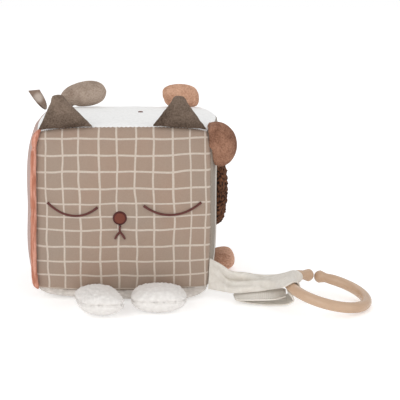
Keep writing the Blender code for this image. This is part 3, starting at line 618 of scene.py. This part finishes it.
def domed_dot(name, place_at, radius, puff, rim):
    """A round stitched patch on a surface: a domed middle inside a raised rim."""
    bpy.ops.object.select_all(action="DESELECT")
    bpy.ops.mesh.primitive_circle_add(vertices=48, radius=radius, fill_type="NGON", location=(0, 0, 0))
    dot = bpy.context.object
    dot.name = name
    bpy.ops.object.mode_set(mode="EDIT")
    bpy.ops.mesh.select_all(action="SELECT")
    for _ in range(8):
        bpy.ops.mesh.inset(thickness=radius / 9)
    bpy.ops.mesh.poke()
    bpy.ops.object.mode_set(mode="OBJECT")
    for vert in dot.data.vertices:
        away = vert.co.length / radius
        edge = math.exp(-(((away - 0.86) / 0.10) ** 2))
        lift = puff * (0.75 * max(0, 1 - away ** 4) ** 0.5 + rim * edge)
        vert.co = place_at(vert.co.x, vert.co.y, lift)
    finish_with(dot, "SUBSURF", levels=1, render_levels=1)
    bpy.ops.object.shade_smooth()
    return dot


nose = domed_dot("nose_stitch", lambda x, z, lift: on_front(x + NOSE_PLACE[0], z + NOSE_PLACE[1], lift),
                 NOSE_RADIUS, 0.0016, 0.35)
rust_thread, rust_shader = new_finish("rust_thread", 0.5, 0.1)
rust_coords = add_node(rust_thread, "ShaderNodeTexCoord").outputs["Object"]
from_middle = add_node(rust_thread, "ShaderNodeVectorMath",
                       {0: rust_coords, 1: (NOSE_PLACE[0], -0.0826, NOSE_PLACE[1])}, operation="SUBTRACT")
flat_middle = add_node(rust_thread, "ShaderNodeVectorMath", {0: from_middle.outputs[0], 1: (1, 0, 1)},
                       operation="MULTIPLY")
away = add_node(rust_thread, "ShaderNodeVectorMath", {0: flat_middle.outputs[0]}, operation="LENGTH")
rim_share = add_node(rust_thread, "ShaderNodeMapRange",
                     {0: away.outputs["Value"], 1: NOSE_RADIUS * 0.66, 2: NOSE_RADIUS * 0.80},
                     interpolation_type="SMOOTHSTEP").outputs[0]
stitches = ribs(rust_thread, rust_coords, 0.0006, "X")
middle_colour = tint(rust_thread, stitches, linear(96, 44, 34), linear(142, 80, 62))
rim_colour = tint(rust_thread, stitches, linear(66, 24, 22), linear(98, 46, 40))
nose_colour = add_node(rust_thread, "ShaderNodeMix", {0: rim_share, 6: middle_colour, 7: rim_colour},
                       data_type="RGBA").outputs[2]
feed(rust_thread, nose_colour, rust_shader.inputs["Base Color"])
raise_by(rust_thread, rust_shader, stitches, 0.0002)
nose.data.materials.append(rust_thread)
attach(nose, "block")
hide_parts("nose")

# A second, small nose is stitched on the white top, for the face that looks up from there.
TOP_NOSE_PLACE = (0.0140, 0.0126)


def on_top(x, y, lift):
    """A point so far above the top panel."""
    place = block_point(((x + TOP_NOSE_PLACE[0]) / HALF.x, (y + TOP_NOSE_PLACE[1]) / HALF.y, 1))
    return place + Vector((0, 0, lift))


top_nose = domed_dot("top_nose_stitch", on_top, 0.0021, 0.0012, 0.2)
top_nose.data.materials.append(thread_finish("dark_rust_thread", (74, 36, 32), (122, 76, 66), "Y"))
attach(top_nose, "block")
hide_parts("top_nose")

# The cat's two ears are triangles of taupe velour, sewn face to face, turned out and lightly
# stuffed, then caught in the front top seam by their wide side. The left one leans out.
ROOT_OFFSET = 0.0018
EAR_SEAT, EAR_SINK = 0.0, 0.0006
EAR_WIDTH, EAR_THICKNESS = 0.0470, 0.0108
EAR_WIDTHS = ((0, 0.98), (0.05, 1), (0.16, 0.92), (0.31, 0.77), (0.53, 0.58), (0.76, 0.36), (0.93, 0.24),
              (0.98, 0.16), (1, 0))
EAR_BULKS = ((0, 0.14), (0.04, 0.30), (0.2, 0.9), (0.45, 1), (0.8, 0.66), (0.95, 0.4), (1, 0))
STUFFING_SCALE = 10


def root_frame(share, outward, along, pointing, seat=0.0):
    """A seam's place and turn for what is sewn into it: X along the seam and Y towards the tip."""
    origin = block_point(share) + outward.normalized() * (ROOT_OFFSET + seat)
    across = along.normalized()
    ahead = (pointing - across * pointing.dot(across)).normalized()
    turn = Matrix((across, ahead, across.cross(ahead))).transposed()
    return Matrix.Translation(origin) @ turn.to_4x4()


def share_at(table, t):
    """Reads a table of shares at t, between its rows."""
    for (low, first), (high, second) in zip(table, table[1:]):
        if t <= high:
            part = (t - low) / (high - low)
            return first + (second - first) * part
    return table[-1][1]


def stuff(form, voxel, pressure, cap):
    """Fills a form as a sewn skin is filled: cloth with air pressure, a little movement, kept."""
    finish_with(form, "REMESH", mode="VOXEL", voxel_size=voxel)
    for vert in form.data.vertices:
        vert.co *= STUFFING_SCALE
    before = [vert.co.copy() for vert in form.data.vertices]
    only(form)
    skin = form.modifiers.new("Cloth", "CLOTH")
    skin.settings.quality = 3
    skin.settings.use_pressure = True
    skin.settings.uniform_pressure_force = pressure
    skin.settings.effector_weights.gravity = 0
    skin.point_cache.frame_end = 12
    for number in range(1, 13):
        bpy.context.scene.frame_set(number)
    bpy.ops.object.modifier_apply(modifier=skin.name)
    bpy.context.scene.frame_set(1)
    for vert, start in zip(form.data.vertices, before):
        moved = vert.co - start
        if moved.length > cap * STUFFING_SCALE:
            moved *= cap * STUFFING_SCALE / moved.length
        vert.co = (start + moved) / STUFFING_SCALE


def sewn_form(name, size, widths, bulks, lean=0.0, bow=0.0, voxel=0.0017, cap=0.0010):
    """A stuffed ear or foot, from its root at the origin to its tip along Y."""
    width, length, thickness = size
    bpy.ops.object.select_all(action="DESELECT")
    bpy.ops.mesh.primitive_uv_sphere_add(segments=48, ring_count=32, radius=1, location=(0, 0, 0))
    form = bpy.context.object
    form.name = name
    for vert in form.data.vertices:
        t = (1 + vert.co.z) / 2
        ring = math.hypot(vert.co.x, vert.co.y) or 1
        side, face = vert.co.x / ring, vert.co.y / ring
        across = side * share_at(widths, t) * width / 2 + lean * t + bow * math.sin(math.pi * t)
        through = face * share_at(bulks, t) * thickness / 2
        vert.co = (across, t * (length + 0.0015) - 0.0015, through)
    finish_with(form, "SMOOTH", factor=0.5, iterations=6)
    stuff(form, voxel, 4.0, cap)
    finish_with(form, "SUBSURF", levels=1, render_levels=1)
    low = min(vert.co.y for vert in form.data.vertices)
    high = max(vert.co.y for vert in form.data.vertices)
    for vert in form.data.vertices:
        vert.co.y = -0.0015 + (vert.co.y - low) / (high - low) * (length + 0.0015)
    return form


def press_rim(form, depth, width, pucker):
    """Draws in the seam round a form's rim, where its two faces are sewn together."""
    for vert in form.data.vertices:
        near = math.exp(-((vert.co.z / width) ** 2))
        wave = noise.noise(Vector((vert.co.x * 260, vert.co.y * 260, 5)))
        fold = math.exp(-((vert.co.z / (3 * width)) ** 2))
        rimward = Vector((vert.normal.x, vert.normal.y, 0))
        vert.co -= rimward * (depth * near + pucker * wave * fold)


def seat_form(form, place, body, node, finish):
    """Sets a stuffed form in its seam, gives it its cloth and body, and hides the part it stands for."""
    form.data.transform(place)
    form.data.update()
    only(form)
    bpy.ops.object.shade_smooth()
    form.data.materials.clear()
    form.data.materials.append(finish)
    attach(form, body)
    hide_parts(node)


def velour_finish(name, dark, light, brushed=70.0, painted_shade_heights=None):
    """Short dense pile: brushed areas lie lighter or darker, with fine fibre over them. The painted shade
    heights are where the pile is painted darkest as shade and where it is painted lightest as lit."""
    finish, shader = new_finish(name, 0.95, 0.35, linear(*light))
    coords = add_node(finish, "ShaderNodeTexCoord").outputs["Object"]
    brush = add_node(finish, "ShaderNodeTexNoise",
                     {"Vector": coords, "Scale": brushed, "Detail": 2.0, "Distortion": 0.6}).outputs["Fac"]
    tufts = speckle(finish, coords, 760, 3.0)
    fibre = speckle(finish, coords, 1500, 3.0)
    pile = sum_of(finish, sum_of(finish, brush, tufts, 0.9), fibre, 0.4)
    # Painted shade: the pile's colour is darkened towards the lower height and lightened above the upper one.
    if painted_shade_heights:
        height = add_node(finish, "ShaderNodeSeparateXYZ", {0: coords}).outputs[2]
        painted_shade = add_node(finish, "ShaderNodeMapRange",
                          {0: height, 1: painted_shade_heights[0], 2: painted_shade_heights[1], 3: -0.22, 4: 0.16}).outputs[0]
        pile = sum_of(finish, pile, painted_shade, 1.0)
    spread = add_node(finish, "ShaderNodeMapRange", {0: pile, 1: 0.80, 2: 1.50}).outputs[0]
    feed(finish, tint(finish, spread, linear(*dark), linear(*light)), shader.inputs["Base Color"])
    raise_by(finish, shader, sum_of(finish, tufts, fibre, 0.5), 0.0009)
    return finish


# The cat ears are painted darker at their base, as shade by the seam, and lighter towards their tips.
taupe_velour = velour_finish("taupe_velour", (70, 56, 46), (136, 118, 104), 45.0, (0.146, 0.166))
for ear_name, share, body, lean, length in (("left_cat_ear", -0.645, "left_ear", -0.0044, 0.0266),
                                            ("right_cat_ear", 0.67, "right_ear", -0.0024, 0.0248)):
    ear = sewn_form(ear_name + "_velour", (EAR_WIDTH, length, EAR_THICKNESS), EAR_WIDTHS, EAR_BULKS,
                    lean=lean, voxel=0.0014)
    press_rim(ear, 0.00035, 0.0006, 0.0003)
    along = block_point((share + 0.02, -1, 1)) - block_point((share - 0.02, -1, 1))
    place = root_frame((share, -1, 1), Vector((0, -1, 1)), along, Vector((0, 0, 2)), EAR_SEAT)
    place = place @ Matrix.Translation((0, -EAR_SINK, 0))
    seat_form(ear, place, body, ear_name, taupe_velour)

# The ears and a foot of the faces on the other sides flop out of their seams: a light taupe ear and
# a salmon one from the back seam, and a salmon ear and foot down the right. All are stuffed velour,
# and their own weight bends them.
LOBE_WIDTHS = ((0, 0.52), (0.04, 0.60), (0.2, 0.68), (0.45, 0.92), (0.66, 1), (0.84, 0.86), (0.95, 0.54), (1, 0))
LOBE_BULKS = ((0, 0.08), (0.04, 0.16), (0.2, 0.62), (0.45, 1), (0.7, 0.95), (0.86, 0.74), (0.95, 0.50), (1, 0))
SIDE_WIDTHS = ((0, 0.90), (0.04, 0.96), (0.3, 1), (0.6, 0.97), (0.8, 0.80), (0.93, 0.52), (1, 0))
SIDE_BULKS = ((0, 0.10), (0.04, 0.2), (0.2, 0.75), (0.4, 1), (0.62, 0.95), (0.82, 0.68), (0.95, 0.40), (1, 0))
FOOT_WIDTHS = ((0, 0.76), (0.03, 0.80), (0.25, 0.94), (0.6, 1), (0.85, 0.92), (0.95, 0.70), (1, 0))
FOOT_BULKS = ((0, 0.10), (0.03, 0.16), (0.15, 0.54), (0.4, 1), (0.75, 0.92), (0.93, 0.68), (1, 0))


def keep_out(form, place, gap=0.0003):
    """Moves what dips into the block back out to the nearest of its swollen sides."""
    back = place.inverted()
    for vert in form.data.vertices:
        point = place @ vert.co
        x, y, z = point.x / HALF.x, point.y / HALF.y, (point.z - MIDDLE.z) / HALF.z
        reach = max(abs(x), abs(y), abs(z))
        if reach > 1.2:
            continue
        options = []
        for axis, value in enumerate((x, y, z)):
            share = [max(-1, min(1, part)) for part in (x, y, z)]
            share[axis] = math.copysign(1, value)
            wall = block_point(share)[axis]
            inside = (wall - point[axis]) * math.copysign(1, value) + gap
            options.append((inside, axis, wall + math.copysign(gap, value)))
        inside, axis, target = min(options)
        if inside > 0:
            point[axis] = target
        point.z = max(point.z, 0.0002)
        vert.co = back @ point


def bend_form(form, length, swing, droop, turn_share):
    """Bends a straight form along the seam or down, over the first part of its length."""
    place, spine, steps = Vector((0, -0.0015, 0)), [], 100
    for index in range(steps + 2):
        part = min(1, index / (steps * turn_share))
        side, down = math.radians(swing) * part, math.radians(droop) * part
        across = Vector((math.cos(side), -math.sin(side), 0))
        onward = Vector((math.sin(side) * math.cos(down), math.cos(side) * math.cos(down), math.sin(down)))
        spine.append((place.copy(), across, across.cross(onward)))
        place += onward * (length + 0.0015) / steps
    for vert in form.data.vertices:
        t = min(steps, max(0, (vert.co.y + 0.0015) / (length + 0.0015) * steps))
        start, stop = spine[int(t)], spine[int(t) + 1]
        middle, across, through = (low.lerp(high, t - int(t)) for low, high in zip(start, stop))
        vert.co = middle + across.normalized() * vert.co.x + through.normalized() * vert.co.z


def crease(form, length, at, depth, width):
    """Presses a soft crease across the front of a form, where its cloth folds over itself."""
    for vert in form.data.vertices:
        t = vert.co.y / length
        line = at + 0.09 * noise.noise(Vector((vert.co.x * 90, 3, 8)))
        vert.co.z -= depth * math.exp(-(((t - line) / width) ** 2)) * min(1, max(0, vert.co.z / 0.004))


right, ahead, up = Vector((1, 0, 0)), Vector((0, 1, 0)), Vector((0, 0, 1))
light_taupe = velour_finish("light_taupe_velour", (132, 112, 97), (192, 173, 158))
salmon_velour = velour_finish("salmon_velour", (168, 120, 95), (232, 188, 160))
# Shaded and lit copies of the one salmon velour: the side ear's is painted darker as shade, the side foot's painted
# lighter as lit.
salmon_painted_shade = velour_finish("deep_salmon_velour", (98, 62, 46), (176, 132, 108))
salmon_painted_light = velour_finish("salmon_velour_painted_light", (172, 122, 98), (240, 196, 170))
LOBES = (
    ("top_left_lobe", (-0.79, 1, 1), up + ahead, right, up - ahead * 0.42, (0.0248, 0.0445, 0.0215),
     LOBE_WIDTHS, LOBE_BULKS, 0.0, (81, 0, 0.38), "top_left_flap", light_taupe, "light_taupe_velour"),
    ("top_right_lobe", (0.755, 1, 1), up + ahead, right, up - ahead * 0.85, (0.0345, 0.0240, 0.0190),
     FOOT_WIDTHS, FOOT_BULKS, -0.0040, (0, 0, 1), "top_right_flap", salmon_velour, "salmon_velour"),
    ("side_ear", (0.963, -0.87, 0.972), up + right, ahead, right - up * 0.42, (0.0310, 0.0366, 0.0250),
     SIDE_WIDTHS, SIDE_BULKS, -0.0030, (0, 92, 0.80), "side_ear_flap", salmon_painted_shade, "deep_salmon_velour"),
    ("side_foot", (1, 0.30, -1), right, ahead, right + up * 0.22, (0.036, 0.0240, 0.0212),
     FOOT_WIDTHS, FOOT_BULKS, 0.0, (0, 0, 1), "side_foot_flap", salmon_painted_light, "salmon_velour"),
)
for lobe_name, share, outward, along, pointing, size, widths, bulks, lean, bend, body, finish, slot_name in LOBES:
    lobe = sewn_form(lobe_name + "_velour", size, widths, bulks, lean=lean)
    press_rim(lobe, 0.0005, 0.0007, 0.0004)
    if lobe_name == "top_right_lobe":
        crease(lobe, size[1], 0.36, 0.0022, 0.09)
    bend_form(lobe, size[1], *bend)
    place = root_frame(share, outward, along, pointing)
    keep_out(lobe, place)
    seat_form(lobe, place, body, lobe_name, finish)

# The cat's two feet are pads of white sherpa, stuffed and caught in the bottom front seam. They
# lie forward on the floor. Curls cover them, and a rim seam creases their front edge.
FEET = (
    ("left_foot", -0.37, (0.0390, 0.0610, 0.0205), 0.0140, "left_foot_flap"),
    ("right_foot", 0.41, (0.0490, 0.0500, 0.0205), 0.0, "right_foot_flap"),
)
foot_sherpa = pile_finish("foot_sherpa", (216, 211, 206), (237, 233, 229), 0.0032, 0.00022, 0.3)
for foot_name, share, size, lean, body in FEET:
    foot = sewn_form(foot_name + "_sherpa", size, FOOT_WIDTHS, FOOT_BULKS, lean=lean)
    press_rim(foot, 0.0020, 0.0011, 0.0006)
    for vert in foot.data.vertices:
        grown = min(1, max(0, vert.co.y / 0.006)) * min(1, max(0, (size[1] - vert.co.y) / 0.002))
        curls = curl_height(vert.co + Vector((share, 0, 0)), 0.0030) - 0.4
        vert.co += vert.normal * 0.0011 * grown * curls
    place = root_frame((share, -1, -1), -ahead, right, up * 0.11 - ahead)
    keep_out(foot, place)
    seat_form(foot, place, body, foot_name, foot_sherpa)

# The lion's mane on the right side is a round patch of dark brown boucle, whose wool loops stand
# a few millimetres proud. It is sewn flat to the panel and padded by its own pile.
MANE_SIZE = (0.068, 0.066)
MANE_PUFF = 0.0090
MANE_LIFT = 0.0048
bpy.ops.object.select_all(action="DESELECT")
bpy.ops.mesh.primitive_ico_sphere_add(subdivisions=6, radius=1, location=(0, 0, 0))
mane = bpy.context.object
mane.name = "boucle_mane"
for vert in mane.data.vertices:
    y, z, lift = vert.co.x * MANE_SIZE[0] / 2, vert.co.y * MANE_SIZE[1] / 2, max(vert.co.z, 0)
    base = block_point((1, y / HALF.y, (z + MANE_LIFT) / HALF.z)).x
    loops = 0.0026 * curl_height(Vector((y, z, vert.co.z * 0.012)), 0.0052)
    fine = 0.0007 * noise.noise(Vector((y, z, vert.co.z * 0.01)) * 700)
    vert.co = (base + 0.0002 + lift * MANE_PUFF + (loops + fine) * min(1, 2.5 * lift),
               y * (1 + 0.03 * noise.noise(Vector((y, z, 0)) * 90)), z + MANE_LIFT + MIDDLE.z)
only(mane)
bpy.ops.object.mode_set(mode="EDIT")
bpy.ops.mesh.select_all(action="SELECT")
bpy.ops.mesh.normals_make_consistent(inside=False)
bpy.ops.object.mode_set(mode="OBJECT")
bpy.ops.object.shade_smooth()
boucle, boucle_shader = new_finish("brown_boucle", 0.95, 0.3, linear(120, 84, 66))
boucle_coords = add_node(boucle, "ShaderNodeTexCoord").outputs["Object"]
wool = add_node(boucle, "ShaderNodeTexVoronoi", {"Vector": boucle_coords, "Scale": 420.0}, feature="SMOOTH_F1")
wool_height = add_node(boucle, "ShaderNodeMath", {0: 1.0, 1: wool.outputs["Distance"]}, operation="SUBTRACT")
wool_mixed = sum_of(boucle, wool_height.outputs[0], speckle(boucle, boucle_coords, 520), 1.4)
# Painted light and shade: loop tops are painted lighter as lit, the hollows between loops darker as shade.
painted_loop_light = add_node(boucle, "ShaderNodeMapRange", {0: wool_mixed, 1: 1.0, 2: 1.9}).outputs[0]
feed(boucle, tint(boucle, painted_loop_light, linear(24, 11, 6), linear(150, 100, 70)),
     boucle_shader.inputs["Base Color"])
raise_by(boucle, boucle_shader, wool_mixed, 0.0010)
mane.data.materials.append(boucle)
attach(mane, "block")
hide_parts("mane_patch")

# The ribbon tag is a taupe satin ribbon, folded in two and caught in the top left seam by its ends.
# It twists as it stands. Its face is left bare but for a painted highlight of its satin.
TAG_WIDTH, TAG_LENGTH = 0.0092, 0.0186
TAG_TWIST = math.radians(-74)
TAG_SKEW = -0.48
TAG_HALF_SLOT = 0.0009
PAINTED_GLEAM_PLACE = (-0.0775, 0.0490, 0.1535)
bpy.ops.object.select_all(action="DESELECT")
bpy.ops.mesh.primitive_grid_add(x_subdivisions=10, y_subdivisions=64, size=2, location=(0, 0, 0))
tag = bpy.context.object
tag.name = "satin_tag"
tag_place = root_frame((-1, 0.72, 1), Vector((-1, 0, 1)), ahead, Vector((-0.58, 0, 1)))
for vert in tag.data.vertices:
    side, along = vert.co.x, (vert.co.y + 1) / 2
    climb = min(1, 2.15 * min(along, 1 - along))
    slot = TAG_HALF_SLOT * math.copysign(1, 0.5 - along) * (0.55 + 0.45 * math.sin(math.pi * climb))
    height = -0.0011 + climb * (TAG_LENGTH + 0.0011)
    if climb == 1:
        bend = math.pi * (along - 1 / 2.15) / (1 - 2 / 2.15)
        slot = TAG_HALF_SLOT * 0.55 * math.cos(bend)
        height = TAG_LENGTH + TAG_HALF_SLOT * 0.55 * math.sin(bend)
    narrow = 1 - 0.12 * (1 - climb)
    skew = TAG_SKEW * side * climb * TAG_WIDTH / 2
    point = Vector((side * narrow * TAG_WIDTH / 2, height + skew, slot + 0.0005 * side * side))
    turn = TAG_TWIST * max(0, height / TAG_LENGTH) ** 0.6
    vert.co = tag_place @ (Matrix.Rotation(turn, 3, "Y") @ point)
finish_with(tag, "SOLIDIFY", thickness=0.0004, offset=0)
bpy.ops.object.shade_smooth()
ribbon, ribbon_shader = new_finish("taupe_ribbon", 0.55, 0.1)
ribbon_shader.inputs["Specular IOR Level"].default_value = 0.35
ribbon_coords = add_node(ribbon, "ShaderNodeTexCoord").outputs["Object"]
ribbon_weave = ribs(ribbon, ribbon_coords, 0.0006, "DIAGONAL")
ribbon_mixed = sum_of(ribbon, ribbon_weave, speckle(ribbon, ribbon_coords, 400), 0.6)
# Painted highlight: a pale spot round one place on the ribbon stands for the gleam of its satin.
painted_gleam = add_node(ribbon, "ShaderNodeMapRange",
                 {0: add_node(ribbon, "ShaderNodeVectorMath", {0: ribbon_coords, 1: PAINTED_GLEAM_PLACE},
                              operation="DISTANCE").outputs["Value"], 1: 0.0020, 2: 0.0062, 3: 0.75, 4: 0.0},
                 interpolation_type="SMOOTHSTEP").outputs[0]
ribbon_plain = tint(ribbon, ribbon_mixed, linear(104, 84, 72), linear(150, 128, 112))
ribbon_colour = add_node(ribbon, "ShaderNodeMix", {0: painted_gleam, 6: ribbon_plain, 7: linear(214, 200, 188)},
                         data_type="RGBA").outputs[2]
feed(ribbon, ribbon_colour, ribbon_shader.inputs["Base Color"])
raise_by(ribbon, ribbon_shader, ribbon_weave, 0.00012)
tag.data.materials.clear()
tag.data.materials.append(ribbon)
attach(tag, "tag")
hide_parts("ribbon_tag")

# The ring is one bent rod of satin beige plastic with a round knob at each end of its gap. It lies
# tilted, with its far side on the floor and its near side lifted by the strap.
RING_RADIUS, RING_TUBE, RING_KNOB = 0.0326, 0.0044, 0.0054
RING_GAP_ANGLE = math.radians(104.5)
RING_POINTS = 64
ring_turn = Matrix.Rotation(math.radians(13.2), 4, "Y") @ Matrix.Rotation(math.radians(4.4), 4, "X")
ring_place = Matrix.Translation(Vector((0.1670, -0.0976, 0.012748))) @ ring_turn


def ring_point(radius, angle, height=0.0):
    """A point given by its distance and direction from the ring's middle, in the ring's plane."""
    return ring_place @ Vector((radius * math.cos(angle), radius * math.sin(angle), height))


half_gap = math.asin((RING_KNOB + 0.0006) / RING_RADIUS)
knob_turn = RING_KNOB / RING_RADIUS
stops = []
for index in range(7):
    off = math.cos(math.pi * (index + 0.3) / 14)
    stops.append((-off * knob_turn, math.sqrt(1 - off * off) * RING_KNOB / RING_TUBE))
stops += [(0.5 * knob_turn, 0.99), (0.85 * knob_turn, 0.88), (1.4 * knob_turn, 0.95)]
ring_start, ring_sweep = RING_GAP_ANGLE + half_gap, 2 * math.pi - 2 * half_gap
bends = [(ring_start + turn, share) for turn, share in stops]
middle_start, middle_sweep = ring_start + 2 * knob_turn, ring_sweep - 4 * knob_turn
bends += [(middle_start + middle_sweep * i / RING_POINTS, 1) for i in range(RING_POINTS + 1)]
bends += [(ring_start + ring_sweep - turn, share) for turn, share in reversed(stops)]
ring = tube("hanging_ring", [ring_point(RING_RADIUS, angle) for angle, _ in bends], RING_TUBE,
            [share for _, share in bends], 8)
beige, beige_shader = new_finish("beige_ring", 0.24)
beige_shader.inputs["Specular IOR Level"].default_value = 0.5
beige_coords = add_node(beige, "ShaderNodeTexCoord").outputs["Object"]
cloudy = add_node(beige, "ShaderNodeTexNoise",
                  {"Vector": beige_coords, "Scale": 55.0, "Detail": 3.0, "Distortion": 1.2}).outputs["Fac"]
feed(beige, tint(beige, cloudy, linear(186, 154, 127), linear(206, 176, 149)),
     beige_shader.inputs["Base Color"])
raise_by(beige, beige_shader, speckle(beige, beige_coords, 900, 3.0), 0.00003)
ring.data.materials.append(beige)
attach(ring, "ring")
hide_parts("c_ring")

# The strap is one strip of cream double muslin. From the lower right seam it runs in soft folds to
# the ring, wraps round it and comes back under itself, where its end is folded double on the floor.
STRAP_THICKNESS = 0.0013
WRAP_START, WRAP_SWEEP = math.radians(163), math.radians(41)
WRAP_SLANT = math.radians(27)
LIP_RADIUS = 0.0425
RUN_PART, WRAP_PART = 0.40, 0.56
UPPER_EDGE = [Vector(place) for place in (
    (0.0718, -0.0722, 0.0350), (0.0795, -0.0755, 0.0315), (0.0880, -0.0775, 0.0248),
    (0.1003, -0.0795, 0.0240), (0.1125, -0.0800, 0.0228))] + [ring_point(LIP_RADIUS, WRAP_START, 0.0006)]
LOWER_EDGE = [Vector(place) for place in (
    (0.0702, -0.0722, 0.0078), (0.0820, -0.0800, 0.0078), (0.0925, -0.0880, 0.0089),
    (0.1085, -0.0940, 0.0125), (0.1195, -0.0975, 0.0150))]
LOWER_EDGE.append(ring_point(LIP_RADIUS, WRAP_START + WRAP_SWEEP, 0.0006))
TAIL_FAR = [Vector(place) for place in (
    (0.1400, -0.0800, 0.0080), (0.1330, -0.0770, 0.0026), (0.1230, -0.0765, 0.0014), (0.1130, -0.0765, 0.0014),
    (0.1040, -0.0765, 0.0014), (0.0960, -0.0765, 0.0018), (0.0915, -0.0770, 0.0045), (0.0970, -0.0790, 0.0080),
    (0.1080, -0.0830, 0.0115), (0.1235, -0.0860, 0.0135), (0.1340, -0.0890, 0.0120))]
TAIL_NEAR = [Vector(place) for place in (
    (0.1395, -0.1000, 0.0050), (0.1335, -0.0990, 0.0018), (0.1232, -0.0985, 0.0013), (0.1150, -0.0980, 0.0013),
    (0.1075, -0.0950, 0.0014), (0.0990, -0.0900, 0.0016), (0.0925, -0.0865, 0.0028), (0.0965, -0.0930, 0.0042),
    (0.1080, -0.0990, 0.0058), (0.1235, -0.1012, 0.0068), (0.1334, -0.0975, 0.0085))]


def on_curve(points, t):
    """A point on the smooth curve through all the points, at a share of their number."""
    spans = len(points) - 1
    index = min(int(t * spans), spans - 1)
    part = t * spans - index
    before = points[index - 1] if index else points[0] * 2 - points[1]
    after = points[index + 2] if index + 2 <= spans else points[-1] * 2 - points[-2]
    first, second = points[index], points[index + 1]
    slope, slope_end = (second - before) / 2, (after - first) / 2
    square, cube = part * part, part * part * part
    return (first * (2 * cube - 3 * square + 1) + slope * (cube - 2 * square + part)
            + second * (3 * square - 2 * cube) + slope_end * (cube - square))


def strap_point(along, across):
    """A point of the strip: its run from the seam, its wrap round the rod, then its folded tail."""
    angle = WRAP_START + WRAP_SWEEP * across
    if along <= RUN_PART:
        t = along / RUN_PART
        high, low = on_curve(UPPER_EDGE, t), on_curve(LOWER_EDGE, t)
        place = high.lerp(low, across)
        chord = UPPER_EDGE[-1].lerp(LOWER_EDGE[-1], across)
        place += (ring_point(LIP_RADIUS, angle, 0.0006) - chord) * t ** 4
        calm = math.sin(math.pi * min(1, max(0, t))) ** 0.7
        facing = (low - high).cross(on_curve(UPPER_EDGE, min(t + 0.02, 1)) - on_curve(UPPER_EDGE, max(t - 0.02, 0)))
        folds = (0.0024 * math.sin(math.pi * 2.6 * (across + 0.45 * t))
                 + 0.0013 * math.sin(math.pi * 5.6 * (across - 0.30 * t) + 1.1)
                 + 0.0014 * noise.noise(Vector((t * 3.0, across * 4.5, 2))))
        return place + facing.normalized() * calm * folds
    if along <= WRAP_PART:
        t = (along - RUN_PART) / (WRAP_PART - RUN_PART)
        round_rod = RING_TUBE + 0.0014 + 0.0003 * noise.noise(Vector((t * 5, across * 9, 4)))
        bend = math.radians(62 + 212 * max(0, (t - 0.18) / 0.82))
        slant = WRAP_SLANT * (1 - across) * math.sin(math.pi * min(0.5, max(0, (t - 0.18) / 0.82)))
        place = ring_point(RING_RADIUS + round_rod * math.cos(bend), angle - slant, round_rod * math.sin(bend))
        lip = ring_point(LIP_RADIUS, angle, 0.0006)
        return lip.lerp(place, t / 0.18) if t < 0.18 else place
    t = (along - WRAP_PART) / (1 - WRAP_PART)
    under = math.radians(274)
    slant = WRAP_SLANT * (1 - across)
    start = ring_point(RING_RADIUS + 0.0060 * math.cos(under), angle - slant, 0.0060 * math.sin(under))
    far, near = on_curve(TAIL_FAR, max(0, (t - 0.12) / 0.88)), on_curve(TAIL_NEAR, max(0, (t - 0.12) / 0.88))
    place = far.lerp(near, across)
    place.z += 0.0007 * math.sin(math.pi * across) * math.sin(7 * across + 5 * t)
    place.z = max(place.z, 0.0010)
    return start.lerp(place, t / 0.12) if t < 0.12 else place


bpy.ops.object.select_all(action="DESELECT")
bpy.ops.mesh.primitive_grid_add(x_subdivisions=180, y_subdivisions=28, size=2, location=(0, 0, 0))
strap = bpy.context.object
strap.name = "muslin_strip"
cloth_map = strap.data.uv_layers.new(name="cloth")
for loop in strap.data.loops:
    place = strap.data.vertices[loop.vertex_index].co
    cloth_map.data[loop.index].uv = ((place.x + 1) / 2 * 0.188, (place.y + 1) / 2 * 0.032)
for vert in strap.data.vertices:
    vert.co = strap_point((vert.co.x + 1) / 2, (1 - vert.co.y) / 2)
finish_with(strap, "SMOOTH", factor=0.5, iterations=3)
finish_with(strap, "SOLIDIFY", thickness=STRAP_THICKNESS, offset=0)
finish_with(strap, "SUBSURF", levels=1, render_levels=1)
bpy.ops.object.shade_smooth()
muslin, muslin_shader = new_finish("cream_muslin", 0.9, 0.2)
muslin_coords = add_node(muslin, "ShaderNodeUVMap", uv_map="cloth").outputs[0]
muslin_body = add_node(muslin, "ShaderNodeTexCoord").outputs["Object"]
warp = ribs(muslin, muslin_coords, 0.0007, "X")
weft = ribs(muslin, muslin_coords, 0.0007, "Y")
weave = add_node(muslin, "ShaderNodeMath", {0: warp, 1: weft}, operation="MULTIPLY").outputs[0]
crinkle = add_node(muslin, "ShaderNodeTexNoise",
                   {"Vector": muslin_body, "Scale": 190.0, "Detail": 3.0, "Distortion": 0.8}).outputs["Fac"]
muslin_mixed = sum_of(muslin, crinkle, weave, 0.3)
feed(muslin, tint(muslin, muslin_mixed, linear(214, 206, 194), linear(244, 239, 231)),
     muslin_shader.inputs["Base Color"])
raise_by(muslin, muslin_shader, sum_of(muslin, crinkle, weave, 0.35), 0.0005)
strap.data.materials.clear()
strap.data.materials.append(muslin)
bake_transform(strap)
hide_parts("muslin_strap", "strap_loop", "strap_tail")
